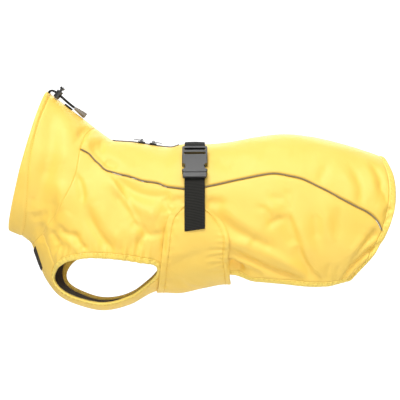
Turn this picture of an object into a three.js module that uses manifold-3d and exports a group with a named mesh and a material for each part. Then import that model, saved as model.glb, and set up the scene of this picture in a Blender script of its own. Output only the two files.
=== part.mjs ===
// Dog raincoat, filled out as worn: millimetres, +X to the tail, -Y to the dog's left, +Z up.
// The origin is the inner face of the back under the girth strap, where the wearer carries it.
import * as THREE from 'three';
import { mergeVertices } from 'three/addons/utils/BufferGeometryUtils.js';
import Module from 'manifold-3d';

const wasm = await Module();
wasm.setup();

// Cloth and seams
const WALL = 1.8;
const LINING_WALL = 1.0;
const SEAM_GAP = 0.4;
const CASING_SHARE = 0.26;
const CASING_EXTRA = 0.7;
const BINDING_WIDTH = 7;
const BINDING_STRAP_WIDTH = 3.4;
const BINDING_EXTRA = 0.4;
const HEM_WIDTH = 7;
const HEM_EXTRA = 0.4;
const REAR_GAP = 1.2;
const FLAP_LIFT = 0.95;
const PIPING_HALF = 0.95;
const PIPING_PROUD = 0.9;
const LABEL_WALL = 1.0;
const LABEL_HALF_WIDTH = 19;

// Girth strap and side-release buckle
const WEBBING_HALF = 12.5;
const WEBBING_WALL = 1.5;
const BUCKLE_WIDTH = 31.4;
const BUCKLE_THICK = 8;
const FEMALE_LENGTH = 41;
const MALE_BASE_LENGTH = 7;
const BUCKLE_ANGLE = 46;
const BUCKLE_LIFT = 0.3;

// Leash zip
const ZIP_FROM_X = -105;
const ZIP_TO_X = -20;
const ZIP_SLOT_HALF = 3.6;
const ZIP_OFF_CENTRE = 5;
const COIL_HALF = 1.5;
const SLIDER_LENGTH = 9;
const SLIDER_WIDTH = 7;
const SLIDER_THICK = 1.4;
const SLIDER_LIFT = 1.2;
const PIVOT_ABOVE_SLIDER = 1.25;
const PULL_LENGTH = 11;
const PULL_WIDTH = 4.4;
const PULL_THICK = 0.9;
const SLIDER_FRONT_X = -68;
const SLIDER_REAR_X = -53.5;

// Drawstring
const CORD_DIAMETER = 2.4;
const LOCK_DIAMETER = 8.4;
const LOCK_LENGTH = 11;
const LOCK_BORE = 4.4;
const LOCK_BORE_DEPTH = 3.4;
const PLUNGER_STEM = 3.6;
const PLUNGER_KNOB = 6.4;
const PLUNGER_KNOB_LENGTH = 3;
const PLUNGER_RAISED = 2.4;

// Cross-sections of the filled coat from the neck opening to the tail. Each runs in the side view
// from a point on the spine to one under the belly, bows backward, and has its half-width. The
// lower half takes its own squareness, and narrows by a share towards the belly.
const STATION_COLUMNS = ['name', 'topX', 'topZ', 'lowX', 'lowZ', 'bow', 'half', 'square', 'narrow'];
const STATIONS = [
  ['neck opening', -189, 68, -237, -109, 0, 50, 2.0, 0.05],
  ['casing', -180, 62, -230, -112, 0, 51, 2.0, 0.08],
  ['collar', -154, 42, -223, -115, 0, 54, 2.0, 0.14],
  ['nape', -128, 22, -214, -121, 0, 57, 2.0, 0.22],
  ['throat', -116, 13, -209, -126, 0, 59, 2.0, 0.26],
  ['shoulder 1', -105, 6, -204, -138, 0, 61, 2.0, 0.28],
  ['shoulder 2', -92, 4.5, -198, -154, 0, 63, 2.05, 0.24],
  ['brisket 1', -79, 3.8, -189, -173, 0, 65, 2.2, 0.12],
  ['brisket 2', -67, 2, -172, -193, 0, 67, 2.35, 0.04],
  ['foreleg 1', -54, 0, -146, -205, 0, 68, 2.4, 0],
  ['foreleg 2', -41, -1.9, -115, -211, 0, 69, 2.4, 0],
  ['foreleg 3', -29, -2.6, -82, -203.5, 0, 69, 2.4, 0],
  ['belly 1', -17, 0.7, -50, -187, 0, 69, 2.3, 0],
  ['strap', 0, 1.8, -18, -186.5, 0, 69, 2.2, 0],
  ['belly 2', 18, 1.2, 12, -180, 0, 69, 2.2, 0],
  ['belly 3', 45, 3.8, 45, -176, 0, 70, 2.2, 0],
  ['loin 1', 78, 10, 77, -191, 0, 71, 2.2, 0],
  ['loin 2', 115, 14, 108, -203, 0, 72, 2.2, 0],
  ['hip 1', 152, 10, 130, -207, 4, 72, 2.2, 0],
  ['hip 2', 188, 1.5, 150, -207, 14, 70, 2.2, 0],
  ['rump', 219, -8, 158, -204, 26, 66, 2.1, 0],
  ['tail hem', 241, -16, 158, -202, 37, 61, 2.1, 0],
];
const LAST = STATIONS.length - 1;

// Seam and edge lines on the left side, as the points they pass in the side view
const PIPING_LINE = [
  { x: -141, z: -8 }, { x: -130, z: -14 }, { x: -120, z: -24 }, { x: -110, z: -33 }, { x: -98, z: -37 },
  { x: -82, z: -41 }, { x: -67, z: -46 }, { x: -45, z: -50 }, { x: -29, z: -55 }, { x: -10, z: -57 },
  { x: 14, z: -54 }, { x: 38, z: -49 }, { x: 61, z: -44 }, { x: 81, z: -40 }, { x: 97, z: -38 },
  { x: 116, z: -41 }, { x: 132, z: -45 }, { x: 147, z: -52 }, { x: 163, z: -60 }, { x: 179, z: -69 },
  { x: 194, z: -77 }, { x: 210, z: -85 }, { x: 222, z: -95 }, { x: 231, z: -115 },
];
const COLLAR_SEAM = [{ x: -142, z: -7 }, { x: -146, z: -36 }, { x: -160, z: -70 }, { x: -183, z: -103 }];
const HEM_LINE = [
  { x: 36, z: -165 }, { x: 66, z: -170 }, { x: 88, z: -173 }, { x: 110, z: -175 },
  { x: 132, z: -177 }, { x: 155, z: -178 }, { x: 173, z: -176 }, { x: 188, z: -172 },
];
const CHEST_SEAM = [{ x: -192, z: -116 }, { x: -181, z: -130 }];

// The armhole's edge, once round from its front top corner; the far one starts a little further back
const ARMHOLE_EDGE = [
  { x: -163, z: -150, farX: -157 }, { x: -152, z: -145, farX: -147 }, { x: -134, z: -142, farX: -132 },
  { x: -116, z: -142, farX: -116 }, { x: -98, z: -143, farX: -98 }, { x: -80, z: -145, farX: -80 },
  { x: -62, z: -148, farX: -62 }, { x: -48, z: -152, farX: -48 }, { x: -47, z: -161, farX: -47 },
  { x: -55, z: -172, farX: -55 }, { x: -66, z: -182, farX: -66 }, { x: -80, z: -191, farX: -80 },
  { x: -98, z: -198, farX: -98 }, { x: -116, z: -200, farX: -116 }, { x: -134, z: -197, farX: -134 },
  { x: -150, z: -192, farX: -148 }, { x: -165, z: -185, farX: -161 }, { x: -175, z: -176, farX: -169 },
  { x: -177, z: -167, farX: -170 }, { x: -172, z: -157, farX: -165 },
];
const ARMHOLE_TOP_ROWS = 7.5;
const ARMHOLE_STRAP_FIRST = 8.5;
const ARMHOLE_ROWS = ARMHOLE_EDGE.length;

// Front and rear edges of the belly panel, from the middle of the belly (0) to a flap's top (1)
const BELLY_FRONT = [
  { at: 0, u: 12.03, angle: 180 }, { at: 0.22, x: -46, z: -177 }, { at: 0.35, x: -44, z: -164 },
  { at: 0.45, x: -42, z: -150 }, { at: 0.55, x: -40, z: -136 }, { at: 0.65, x: -38, z: -120 },
  { at: 0.74, x: -36, z: -105 }, { at: 0.83, x: -32, z: -91 }, { at: 0.89, x: -27, z: -84 },
  { at: 0.95, x: -20, z: -77 }, { at: 1, x: -12, z: -74 },
];
const BELLY_REAR = [
  { at: 0, u: 15.03, angle: 180 }, { at: 0.17, x: 45, z: -172 }, { at: 0.25, x: 44, z: -167 },
  { at: 0.35, x: 43, z: -157 }, { at: 0.49, x: 41, z: -140 }, { at: 0.6, x: 42, z: -125 },
  { at: 0.69, x: 41, z: -112 }, { at: 0.76, x: 37, z: -102 }, { at: 0.85, x: 30, z: -93 },
  { at: 0.94, x: 20, z: -84 }, { at: 1, x: 12, z: -79 },
];

// Soft folds of the coat in the side view: a line, the width it fades over, its height out (or in),
// and the share of it on the far side
const FOLDS = [
  { name: 'collar meets back', x0: -112, z0: 12, x1: -107, z1: -28, width: 7, height: -3.0, far: 0.8 },
  { name: 'neck roll', x0: -128, z0: 14, x1: -145, z1: -4, width: 7, height: -2.0, far: 0.7 },
  { name: 'shoulder ridge', x0: -107, z0: -38, x1: -72, z1: -88, width: 8, height: 2.6, far: 0.9 },
  { name: 'shoulder valley', x0: -98, z0: -50, x1: -48, z1: -92, width: 10, height: -3.4, far: 0.8 },
  { name: 'under piping', x0: -84, z0: -52, x1: -42, z1: -66, width: 7, height: -1.8, far: 1 },
  { name: 'collar front valley', x0: -180, z0: 36, x1: -182, z1: -60, width: 12, height: -2.4, far: 0.8 },
  { name: 'collar low valley', x0: -184, z0: -34, x1: -196, z1: -100, width: 11, height: -3.6, far: 0.7 },
  { name: 'collar ridge', x0: -165, z0: 30, x1: -160, z1: -60, width: 11, height: 1.6, far: 1 },
  { name: 'throat ridge', x0: -172, z0: -70, x1: -186, z1: -118, width: 9, height: 1.8, far: 0.8 },
  { name: 'shoulder crease', x0: -145, z0: -36, x1: -139, z1: -66, width: 6, height: -1.8, far: 0.6 },
  { name: 'foreleg fold 1', x0: -160, z0: -78, x1: -122, z1: -122, width: 8, height: -2.0, far: 0.8 },
  { name: 'foreleg fold 2', x0: -150, z0: -84, x1: -112, z1: -112, width: 6, height: 1.5, far: 0.8 },
  { name: 'armpit fold', x0: -96, z0: -96, x1: -84, z1: -132, width: 8, height: -1.7, far: 1 },
  { name: 'flank valley 1', x0: 16, z0: -72, x1: 50, z1: -102, width: 10, height: -2.6, far: 0.8 },
  { name: 'flank valley 2', x0: 50, z0: -102, x1: 80, z1: -114, width: 9, height: -2.0, far: 0.8 },
  { name: 'flank ridge', x0: 56, z0: -122, x1: 116, z1: -152, width: 9, height: 2.4, far: 1 },
  { name: 'flank pocket', x0: 62, z0: -144, x1: 76, z1: -158, width: 11, height: -4.0, far: 0.8 },
  { name: 'loin crease', x0: 116, z0: -96, x1: 134, z1: -140, width: 8, height: -2.2, far: 0.8 },
  { name: 'loin crease end', x0: 134, z0: -140, x1: 158, z1: -168, width: 6, height: -2.2, far: 0.8 },
  { name: 'loin dent 1', x0: 84, z0: -62, x1: 92, z1: -96, width: 12, height: -1.6, far: 0.7 },
  { name: 'loin dent 2', x0: 146, z0: -74, x1: 160, z1: -110, width: 12, height: -1.4, far: 0.7 },
  { name: 'rump fold 1', x0: 186, z0: -18, x1: 198, z1: -64, width: 7, height: -1.4, far: 0.9 },
  { name: 'rump fold 2', x0: 208, z0: -26, x1: 220, z1: -72, width: 7, height: -1.6, far: 0.9 },
  { name: 'rump tuck', x0: 226, z0: -90, x1: 210, z1: -118, width: 6, height: -2.4, far: 0.9 },
  { name: 'hem deep fold', x0: 216, z0: -126, x1: 180, z1: -160, width: 6, height: -3.4, far: 0.9 },
  { name: 'hem roll', x0: 222, z0: -134, x1: 192, z1: -162, width: 6, height: 1.8, far: 0.9 },
];
const FAR_FOLD_SHIFT = 5;

// Gathers that the armhole's elastic draws up, by place along its top, and how far they run
const GATHERS = [
  { x: -168, height: 1.5, reach: 22 },
  { x: -154, height: 1.3, reach: 17 },
  { x: -140, height: 1.5, reach: 24 },
  { x: -127, height: 1.2, reach: 16 },
  { x: -113, height: 1.5, reach: 21 },
  { x: -99, height: 1.2, reach: 26 },
  { x: -86, height: 1.5, reach: 18 },
  { x: -72, height: 1.3, reach: 23 },
  { x: -58, height: 1.1, reach: 16 },
];
const GATHER_WIDTH = 3.6;
const GATHER_TOP_Z = -140;

// Free drawstring: the middle line between its two strands, out of the casing to the cord end
const CORD_ROUTE = [
  { x: -185.8, y: -7.2, z: 66.1 }, { x: -184.4, y: -7.7, z: 68.0 }, { x: -181.6, y: -8.6, z: 68.7 },
  { x: -177.6, y: -9.8, z: 67.1 }, { x: -173.4, y: -10.6, z: 63.9 }, { x: -169.2, y: -10.6, z: 60.4 },
  { x: -164.8, y: -9.6, z: 56.4 }, { x: -160.6, y: -8.2, z: 52.8 }, { x: -157.0, y: -7.0, z: 49.8 },
  { x: -153.6, y: -6.0, z: 47.2 },
];
const LOCK_AT = 4;
const STRAND_APART = 1.5;

const MATERIALS = {
  cloth: { color: 0xfbdc74, roughness: 0.62, metalness: 0 },
  hem: { color: 0xf3d067, roughness: 0.66, metalness: 0 },
  lining: { color: 0x3d342b, roughness: 0.9, metalness: 0 },
  piping: { color: 0x94826a, roughness: 0.5, metalness: 0.1 },
  webbing: { color: 0x33332f, roughness: 0.85, metalness: 0 },
  plastic: { color: 0x2b2a29, roughness: 0.35, metalness: 0 },
  cordEnd: { color: 0x4c473e, roughness: 0.5, metalness: 0 },
  zip: { color: 0x3a352c, roughness: 0.7, metalness: 0 },
};

const coat = new THREE.Group();

function addPiece(name, geometry, look, parent = coat) {
  const mesh = new THREE.Mesh(geometry, new THREE.MeshStandardMaterial(MATERIALS[look]));
  mesh.name = name;
  parent.add(mesh);
  return mesh;
}

// Smooth interpolation through rows of numbers at uneven places
function smooth(knots, values, at) {
  const end = knots.length - 1;
  let i = 0;
  while (i < end - 1 && at > knots[i + 1]) i += 1;
  const step = (k) => (values[k + 1] - values[k]) / (knots[k + 1] - knots[k]);
  const slope = (k) => (k === 0 ? step(0) : k === end ? step(end - 1) : (step(k - 1) + step(k)) / 2);
  const span = knots[i + 1] - knots[i];
  const t = (at - knots[i]) / span;
  if (t < 0) return values[0] + slope(0) * t * span;
  if (t > 1) return values[end] + slope(end) * (t - 1) * span;
  const rise = values[i + 1] - values[i];
  const bend0 = slope(i) * span - rise;
  const bend1 = rise - slope(i + 1) * span;
  return values[i] + rise * t + t * (1 - t) * (bend0 * (1 - t) + bend1 * t);
}

const STATION_KNOTS = STATIONS.map((row, i) => i);
const STATION_VALUES = {};
STATION_COLUMNS.forEach((key, column) => {
  STATION_VALUES[key] = STATIONS.map((row) => row[column]);
});

// A point of the filled coat's smooth surface: u counts the stations from neck to tail, angle goes
// from the spine (0) down the left side to the belly (180), and is negative on the right
function basePoint(u, angle) {
  const get = (key) => smooth(STATION_KNOTS, STATION_VALUES[key], u);
  const turn = THREE.MathUtils.degToRad(angle);
  const c = Math.cos(turn);
  const s = Math.sin(turn);
  const power = c >= 0 ? 1 : 2 / get('square');
  const drop = (1 - Math.sign(c) * Math.abs(c) ** power) / 2;
  const narrowing = c < 0 ? 1 - get('narrow') * c * c : 1;
  return new THREE.Vector3(
    THREE.MathUtils.lerp(get('topX'), get('lowX'), drop) + get('bow') * 4 * drop * (1 - drop),
    -get('half') * Math.sign(s) * Math.abs(s) ** power * narrowing,
    THREE.MathUtils.lerp(get('topZ'), get('lowZ'), drop),
  );
}

function slopes(u, angle) {
  const du = 0.05;
  const da = 1;
  const alongU = basePoint(u + du, angle).sub(basePoint(u - du, angle)).divideScalar(2 * du);
  const alongAngle = basePoint(u, angle + da).sub(basePoint(u, angle - da)).divideScalar(2 * da);
  return { alongU, alongAngle };
}

function outward(u, angle) {
  const { alongU, alongAngle } = slopes(u, angle);
  return alongAngle.cross(alongU).normalize();
}

function fade(distance, width) {
  return Math.exp(-((distance / width) ** 2));
}

function distanceToLine(x, z, row) {
  const dx = row.x1 - row.x0;
  const dz = row.z1 - row.z0;
  const t = ((x - row.x0) * dx + (z - row.z0) * dz) / (dx * dx + dz * dz);
  const held = THREE.MathUtils.clamp(t, 0, 1);
  return Math.hypot(x - row.x0 - held * dx, z - row.z0 - held * dz);
}

// How far the folds and gathers move the cloth out or in at a point
function relief(point) {
  const far = point.y > 0;
  let height = 0;
  for (const row of FOLDS) {
    const shift = far ? FAR_FOLD_SHIFT : 0;
    const share = far ? row.far : 1;
    height += row.height * share * fade(distanceToLine(point.x - shift, point.z, row), row.width);
  }
  for (const row of GATHERS) {
    const rise = Math.max(0, point.z - GATHER_TOP_Z) / row.reach;
    const below = Math.max(0, GATHER_TOP_Z - 8 - point.z) / 8;
    const lean = (point.z - GATHER_TOP_Z) * 0.15;
    height += row.height * fade(point.x - row.x - lean, GATHER_WIDTH) * fade(rise, 1) * fade(below, 1);
  }
  const side = THREE.MathUtils.smoothstep(Math.abs(point.y), 12, 34);
  return height * side;
}

function clothPoint(place, lift) {
  const base = basePoint(place.u, place.angle);
  return base.addScaledVector(outward(place.u, place.angle), lift);
}

function foldedPoint(place, lift) {
  return clothPoint(place, lift + relief(basePoint(place.u, place.angle)));
}

// The place on the left half that shows at (x, z) in the side view
function locate(x, z) {
  let best = { u: 0, angle: 90, miss: Infinity };
  for (let u = 0; u <= LAST; u += 0.5) {
    for (let angle = 4; angle <= 176; angle += 4) {
      const p = basePoint(u, angle);
      const miss = Math.hypot(p.x - x, p.z - z);
      if (miss < best.miss) best = { u, angle, miss };
    }
  }
  for (let round = 0; round < 20; round += 1) {
    const p = basePoint(best.u, best.angle);
    const { alongU, alongAngle } = slopes(best.u, best.angle);
    const det = alongU.x * alongAngle.z - alongU.z * alongAngle.x;
    const ex = x - p.x;
    const ez = z - p.z;
    best.u += THREE.MathUtils.clamp((ex * alongAngle.z - ez * alongAngle.x) / det, -0.5, 0.5);
    best.angle += THREE.MathUtils.clamp((alongU.x * ez - alongU.z * ex) / det, -6, 6);
  }
  return { u: best.u, angle: best.angle };
}

// A place moved sideways over the surface by a distance, square to the way it is going
function sideways(place, ahead, distance) {
  const from = basePoint(place.u, place.angle);
  const way = basePoint(ahead.u, ahead.angle).sub(from);
  const side = outward(place.u, place.angle).cross(way).normalize().multiplyScalar(distance);
  const { alongU, alongAngle } = slopes(place.u, place.angle);
  const uu = alongU.dot(alongU);
  const ua = alongU.dot(alongAngle);
  const aa = alongAngle.dot(alongAngle);
  const det = uu * aa - ua * ua;
  const su = side.dot(alongU);
  const sa = side.dot(alongAngle);
  return { u: place.u + (su * aa - sa * ua) / det, angle: place.angle + (uu * sa - ua * su) / det };
}

function between(a, b, t) {
  return { u: a.u + (b.u - a.u) * t, angle: a.angle + (b.angle - a.angle) * t };
}

function mirrored(place, side) {
  return { u: place.u, angle: place.angle * side };
}

// A wall between outer and inner points on a grid; cells that keep() refuses are left open
function wallGeometry(rows, cols, corner, { closed = false, keep = () => true } = {}) {
  const across = closed ? cols : cols + 1;
  const points = [];
  for (let i = 0; i <= rows; i += 1) {
    for (let j = 0; j < across; j += 1) {
      const [outer, inner] = corner(i, j);
      points.push(outer, inner);
    }
  }
  const index = (i, j, layer) => 2 * (i * across + (closed ? (j + cols) % cols : j)) + layer;
  const inside = (i, j) => {
    if (i < 0 || i >= rows) return false;
    if (!closed && (j < 0 || j >= cols)) return false;
    return keep(i, closed ? (j + cols) % cols : j);
  };
  const faces = [];
  const quad = (a, b, c, d) => faces.push(a, b, c, a, c, d);
  for (let i = 0; i < rows; i += 1) {
    for (let j = 0; j < cols; j += 1) {
      if (!inside(i, j)) continue;
      const o = (di, dj) => index(i + di, j + dj, 0);
      const n = (di, dj) => index(i + di, j + dj, 1);
      quad(o(0, 0), o(1, 0), o(1, 1), o(0, 1));
      quad(n(0, 0), n(0, 1), n(1, 1), n(1, 0));
      if (!inside(i - 1, j)) quad(o(0, 0), o(0, 1), n(0, 1), n(0, 0));
      if (!inside(i + 1, j)) quad(o(1, 1), o(1, 0), n(1, 0), n(1, 1));
      if (!inside(i, j - 1)) quad(o(1, 0), o(0, 0), n(0, 0), n(1, 0));
      if (!inside(i, j + 1)) quad(o(0, 1), o(1, 1), n(1, 1), n(0, 1));
    }
  }
  return facingOut(points, faces);
}

function facingOut(points, faces) {
  let volume = 0;
  for (let k = 0; k < faces.length; k += 3) {
    const [a, b, c] = [points[faces[k]], points[faces[k + 1]], points[faces[k + 2]]];
    volume += a.dot(b.clone().cross(c));
  }
  const used = new Map();
  const positions = [];
  const indices = faces.map((id) => {
    if (!used.has(id)) {
      used.set(id, used.size);
      positions.push(points[id].x, points[id].y, points[id].z);
    }
    return used.get(id);
  });
  if (volume < 0) indices.reverse();
  const geometry = new THREE.BufferGeometry();
  geometry.setAttribute('position', new THREE.Float32BufferAttribute(positions, 3));
  geometry.setIndex(indices);
  geometry.computeVertexNormals();
  return geometry;
}

function steps(from, to, count) {
  return Array.from({ length: count + 1 }, (unused, i) => from + ((to - from) * i) / count);
}

// A wall over a patch of the surface, from where(s, t), between two lifts
function panel(across, along, where, { outer = 0, wall = WALL, folded = true, ...options } = {}) {
  const corner = (i, j) => {
    const place = where(across[i], along[j]);
    const raise = typeof outer === 'function' ? outer(across[i], along[j]) : outer;
    const point = folded ? foldedPoint : clothPoint;
    return [point(place, raise), point(place, raise - wall)];
  };
  const cols = options.closed ? along.length : along.length - 1;
  return wallGeometry(across.length - 1, cols, corner, options);
}

// Lines on the surface, worked out once
function angleLine(rows) {
  const places = rows.map((row) => locate(row.x, row.z));
  const knots = places.map((place) => place.u);
  const values = places.map((place) => place.angle);
  return { at: (u) => smooth(knots, values, u), start: places[0], end: places[places.length - 1] };
}

function route(rows) {
  const places = rows.map((row) => (row.angle === undefined ? locate(row.x, row.z) : row));
  const knots = rows.map((row) => row.at);
  const us = places.map((place) => place.u);
  const angles = places.map((place) => place.angle);
  return (at) => ({ u: smooth(knots, us, at), angle: smooth(knots, angles, at) });
}

const piping = angleLine(PIPING_LINE);
const hem = angleLine(HEM_LINE);

const collarSeamPlaces = COLLAR_SEAM.map((row) => locate(row.x, row.z));
const collarSeamKnots = [0, ...collarSeamPlaces.map((place) => place.angle), 180];
const collarSeamStations = [3.02, ...collarSeamPlaces.map((place) => place.u), 4];
function collarSeam(angle) {
  return smooth(collarSeamKnots, collarSeamStations, Math.abs(angle));
}

function armholeLoop(side) {
  const places = ARMHOLE_EDGE.map((row) => locate(side > 0 ? row.x : row.farX, row.z));
  const count = places.length;
  const knots = [];
  const us = [];
  const angles = [];
  for (let i = -3; i <= count + 3; i += 1) {
    const place = places[(i + count) % count];
    knots.push(i);
    us.push(place.u);
    angles.push(place.angle);
  }
  const wrap = (at) => ((at % count) + count) % count;
  return (at) => ({ u: smooth(knots, us, wrap(at)), angle: smooth(knots, angles, wrap(at)) });
}

function bindingWidth(at) {
  const onStrap = THREE.MathUtils.smoothstep(at, ARMHOLE_TOP_ROWS, ARMHOLE_STRAP_FIRST + 1)
    * (1 - THREE.MathUtils.smoothstep(at, ARMHOLE_ROWS - 2.5, ARMHOLE_ROWS - 0.5));
  return THREE.MathUtils.lerp(BINDING_WIDTH, BINDING_STRAP_WIDTH, onStrap);
}

function armholeOuter(loop, at, extra) {
  return sideways(loop(at), loop(at + 0.2), bindingWidth(at) + extra);
}

// Millimetres along the surface turned into station numbers or degrees
function stationsFor(place, distance) {
  return distance / slopes(place.u, place.angle).alongU.length();
}

function degreesFor(place, distance) {
  return distance / slopes(place.u, place.angle).alongAngle.length();
}

const HEM_INSET = stationsFor({ u: LAST, angle: 90 }, HEM_WIDTH);
const REAR_END = LAST - stationsFor({ u: LAST, angle: 90 }, HEM_WIDTH + REAR_GAP);

// A line beside the piping, by its distance towards the spine
function besidePiping(distance) {
  const places = steps(piping.start.u - 0.4, LAST + 0.4, 190).map((u) => {
    const ahead = { u: u + 0.1, angle: piping.at(u + 0.1) };
    return sideways({ u, angle: piping.at(u) }, ahead, distance);
  });
  const knots = places.map((place) => place.u);
  const values = places.map((place) => place.angle);
  return (u) => ({ u, angle: smooth(knots, values, u) });
}

// The lower edge of a side panel: chest seam, armhole, under the flap, then the hem
const CHEST_END = 7;
const ARMHOLE_END = 12;
const HEM_START = 15;
const HEM_HIDDEN_START = 14.85;
const ARMHOLE_FRONT = -0.8;
const ARMHOLE_REAR = 7.6;

function chestSeamPlaces(loop, extra) {
  const corner = armholeOuter(loop, ARMHOLE_FRONT, extra);
  return [...CHEST_SEAM.map((row) => locate(row.x, row.z)), corner];
}

function hemInner(u, distance) {
  const place = { u, angle: hem.at(u) };
  return { u, angle: place.angle - degreesFor(place, distance) };
}

function sideLower(loop, s, front) {
  if (s < CHEST_END) {
    const [a, b, c] = chestSeamPlaces(loop, SEAM_GAP);
    const t = (s - front) / (CHEST_END - front);
    const shift = degreesFor(b, SEAM_GAP / 2);
    const place = t < 0.5 ? between(a, b, t * 2) : between(b, c, t * 2 - 1);
    return { u: place.u, angle: place.angle - shift };
  }
  if (s <= ARMHOLE_END) {
    const t = (s - CHEST_END) / (ARMHOLE_END - CHEST_END);
    return armholeOuter(loop, THREE.MathUtils.lerp(ARMHOLE_FRONT, ARMHOLE_REAR, t), SEAM_GAP);
  }
  const besideHem = HEM_WIDTH + SEAM_GAP + 0.1;
  if (s < HEM_START) {
    const t = (s - ARMHOLE_END) / (HEM_START - ARMHOLE_END);
    const from = armholeOuter(loop, ARMHOLE_REAR, SEAM_GAP);
    return between(from, hemInner(HEM_START, besideHem), t);
  }
  return hemInner(s, besideHem);
}

// Rows of a panel whose front edge follows the collar seam
function withCollarEdge(place, linear, s, front, reach) {
  const gap = stationsFor({ u: 4, angle: 90 }, SEAM_GAP);
  const left = 1 - THREE.MathUtils.smoothstep(s, front, front + reach);
  return { u: place.u + (collarSeam(linear.angle) + gap - linear.u) * left, angle: place.angle };
}

function makeCollar() {
  const angles = steps(-180, 180, 40).slice(0, -1);
  const shares = [0, 0.06, 0.13, 0.2, 0.24, 0.27, 0.36, 0.48, 0.6, 0.72, 0.84, 0.93, 1];
  const seamGap = stationsFor({ u: 4, angle: 90 }, SEAM_GAP / 4);
  const where = (share, angle) => ({ u: share * (collarSeam(angle) - seamGap), angle });
  const bulge = (share) => {
    const across = THREE.MathUtils.clamp(share / CASING_SHARE, 0, 1);
    return CASING_EXTRA * Math.sin(Math.PI * across) ** 0.7;
  };
  return panel(shares, angles, where, { outer: bulge, closed: true });
}

const SIDE_ROWS = [
  ...steps(piping.start.u, CHEST_END, 11).slice(0, -1),
  ...steps(CHEST_END, ARMHOLE_END, 26).slice(0, -1),
  ...steps(ARMHOLE_END, HEM_START, 5).slice(0, -1),
  ...steps(HEM_START, REAR_END, 13),
];

function makeSidePanel(side) {
  const loop = armholeLoop(side);
  const front = SIDE_ROWS[0];
  const upper = besidePiping(-PIPING_HALF - SEAM_GAP);
  const linear = (s, t) => between(upper(s), sideLower(loop, s, front), t);
  const where = (s, t) => {
    const place = withCollarEdge(linear(s, t), linear(front, t), s, front, 2.2);
    return mirrored(place, side);
  };
  const columns = [0, 0.1, 0.22, 0.34, 0.46, 0.58, 0.7, 0.8, 0.88, 0.95, 1];
  return panel(SIDE_ROWS, columns, where);
}

function zipAngle(u, distance) {
  return degreesFor({ u, angle: 1 }, ZIP_OFF_CENTRE + distance);
}

function stationAtTop(x) {
  let low = 0;
  let high = LAST;
  for (let round = 0; round < 40; round += 1) {
    const middle = (low + high) / 2;
    if (basePoint(middle, 0).x < x) low = middle;
    else high = middle;
  }
  return low;
}

// The back panel shares rows with the side panels, every one round the piping's bends
const BENDS_END = 8;
const BACK_ROWS = SIDE_ROWS.filter((u, i) => u < BENDS_END || u >= ARMHOLE_END || i % 3 === 0);

function nearestRow(u) {
  return BACK_ROWS.reduce((best, row) => (Math.abs(row - u) < Math.abs(best - u) ? row : best));
}

const ZIP_FROM = nearestRow(stationAtTop(ZIP_FROM_X));
const ZIP_TO = nearestRow(stationAtTop(ZIP_TO_X));

function makeBackPanel() {
  const front = piping.start.u;
  const lower = besidePiping(PIPING_HALF + SEAM_GAP);
  const leftPart = [1, 0.8, 0.6, 0.4, 0.2, 0];
  const rightPart = [0, 0.2, 0.4, 0.6, 0.8, 1];
  const columns = [...leftPart.map((t) => ({ t, side: 1 })), ...rightPart.map((t) => ({ t, side: -1 }))];
  const spread = ({ t, side }, s) => {
    const slot = zipAngle(s, side * ZIP_SLOT_HALF);
    return { u: s, angle: THREE.MathUtils.lerp(slot, lower(s).angle * side, t) };
  };
  const where = (s, column) => {
    const reach = Math.min(2, ZIP_FROM - front);
    return withCollarEdge(spread(column, s), spread(column, front), s, front, reach);
  };
  const slotColumn = leftPart.length - 1;
  const keep = (i, j) => !(j === slotColumn && BACK_ROWS[i] >= ZIP_FROM && BACK_ROWS[i] < ZIP_TO);
  return panel(BACK_ROWS, columns, where, { keep });
}

function makePiping(side) {
  const edges = { '-1': besidePiping(-PIPING_HALF), 1: besidePiping(PIPING_HALF) };
  const where = (s, t) => mirrored(edges[t](s), side);
  return panel(SIDE_ROWS, [-1, 1], where, { outer: PIPING_PROUD, wall: PIPING_PROUD + 1.2 });
}

function makeBinding(side) {
  const loop = armholeLoop(side);
  const where = (at, t) => {
    const edge = loop(at);
    return mirrored(between(edge, armholeOuter(loop, at, 0), t), side);
  };
  const rows = steps(0, ARMHOLE_ROWS, ARMHOLE_ROWS * 3).slice(0, -1);
  const outer = BINDING_EXTRA;
  return closedPanel(rows, [0, 1], where, { outer, wall: WALL + BINDING_EXTRA * 2 });
}

// A band that closes on itself along its length
function closedPanel(along, across, where, options) {
  return panel(across, along, (t, at) => where(at, t), { ...options, closed: true });
}

function makeHemBand() {
  const low = hem.at(LAST);
  const bottom = steps(HEM_HIDDEN_START, LAST, 15).slice(0, -1).map((u) => ({ u, angle: hem.at(u) }));
  const path = [];
  for (const row of bottom) path.push({ edge: row, inner: hemInner(row.u, HEM_WIDTH) });
  const innerLow = hemInner(LAST, HEM_WIDTH).angle;
  for (const share of steps(1, -1, 34)) {
    const edge = { u: LAST, angle: low * share };
    path.push({ edge, inner: { u: LAST - HEM_INSET, angle: innerLow * share } });
  }
  for (const row of [...bottom].reverse()) {
    path.push({ edge: mirrored(row, -1), inner: mirrored(hemInner(row.u, HEM_WIDTH), -1) });
  }
  const places = path.map((row, i) => i);
  const where = (i, t) => between(path[i].edge, path[i].inner, t);
  return panel(places, [0, 1], where, { outer: HEM_EXTRA, wall: WALL + HEM_EXTRA * 2 });
}

// Chest panel between the two armholes, drawn from its middle line outward
const CHEST_FRONT = 4;
const CHEST_REAR = 12.45;
const CHEST_CORNER = 6;
const STRAP_REAR = ARMHOLE_REAR + 0.3 - ARMHOLE_ROWS;

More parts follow.
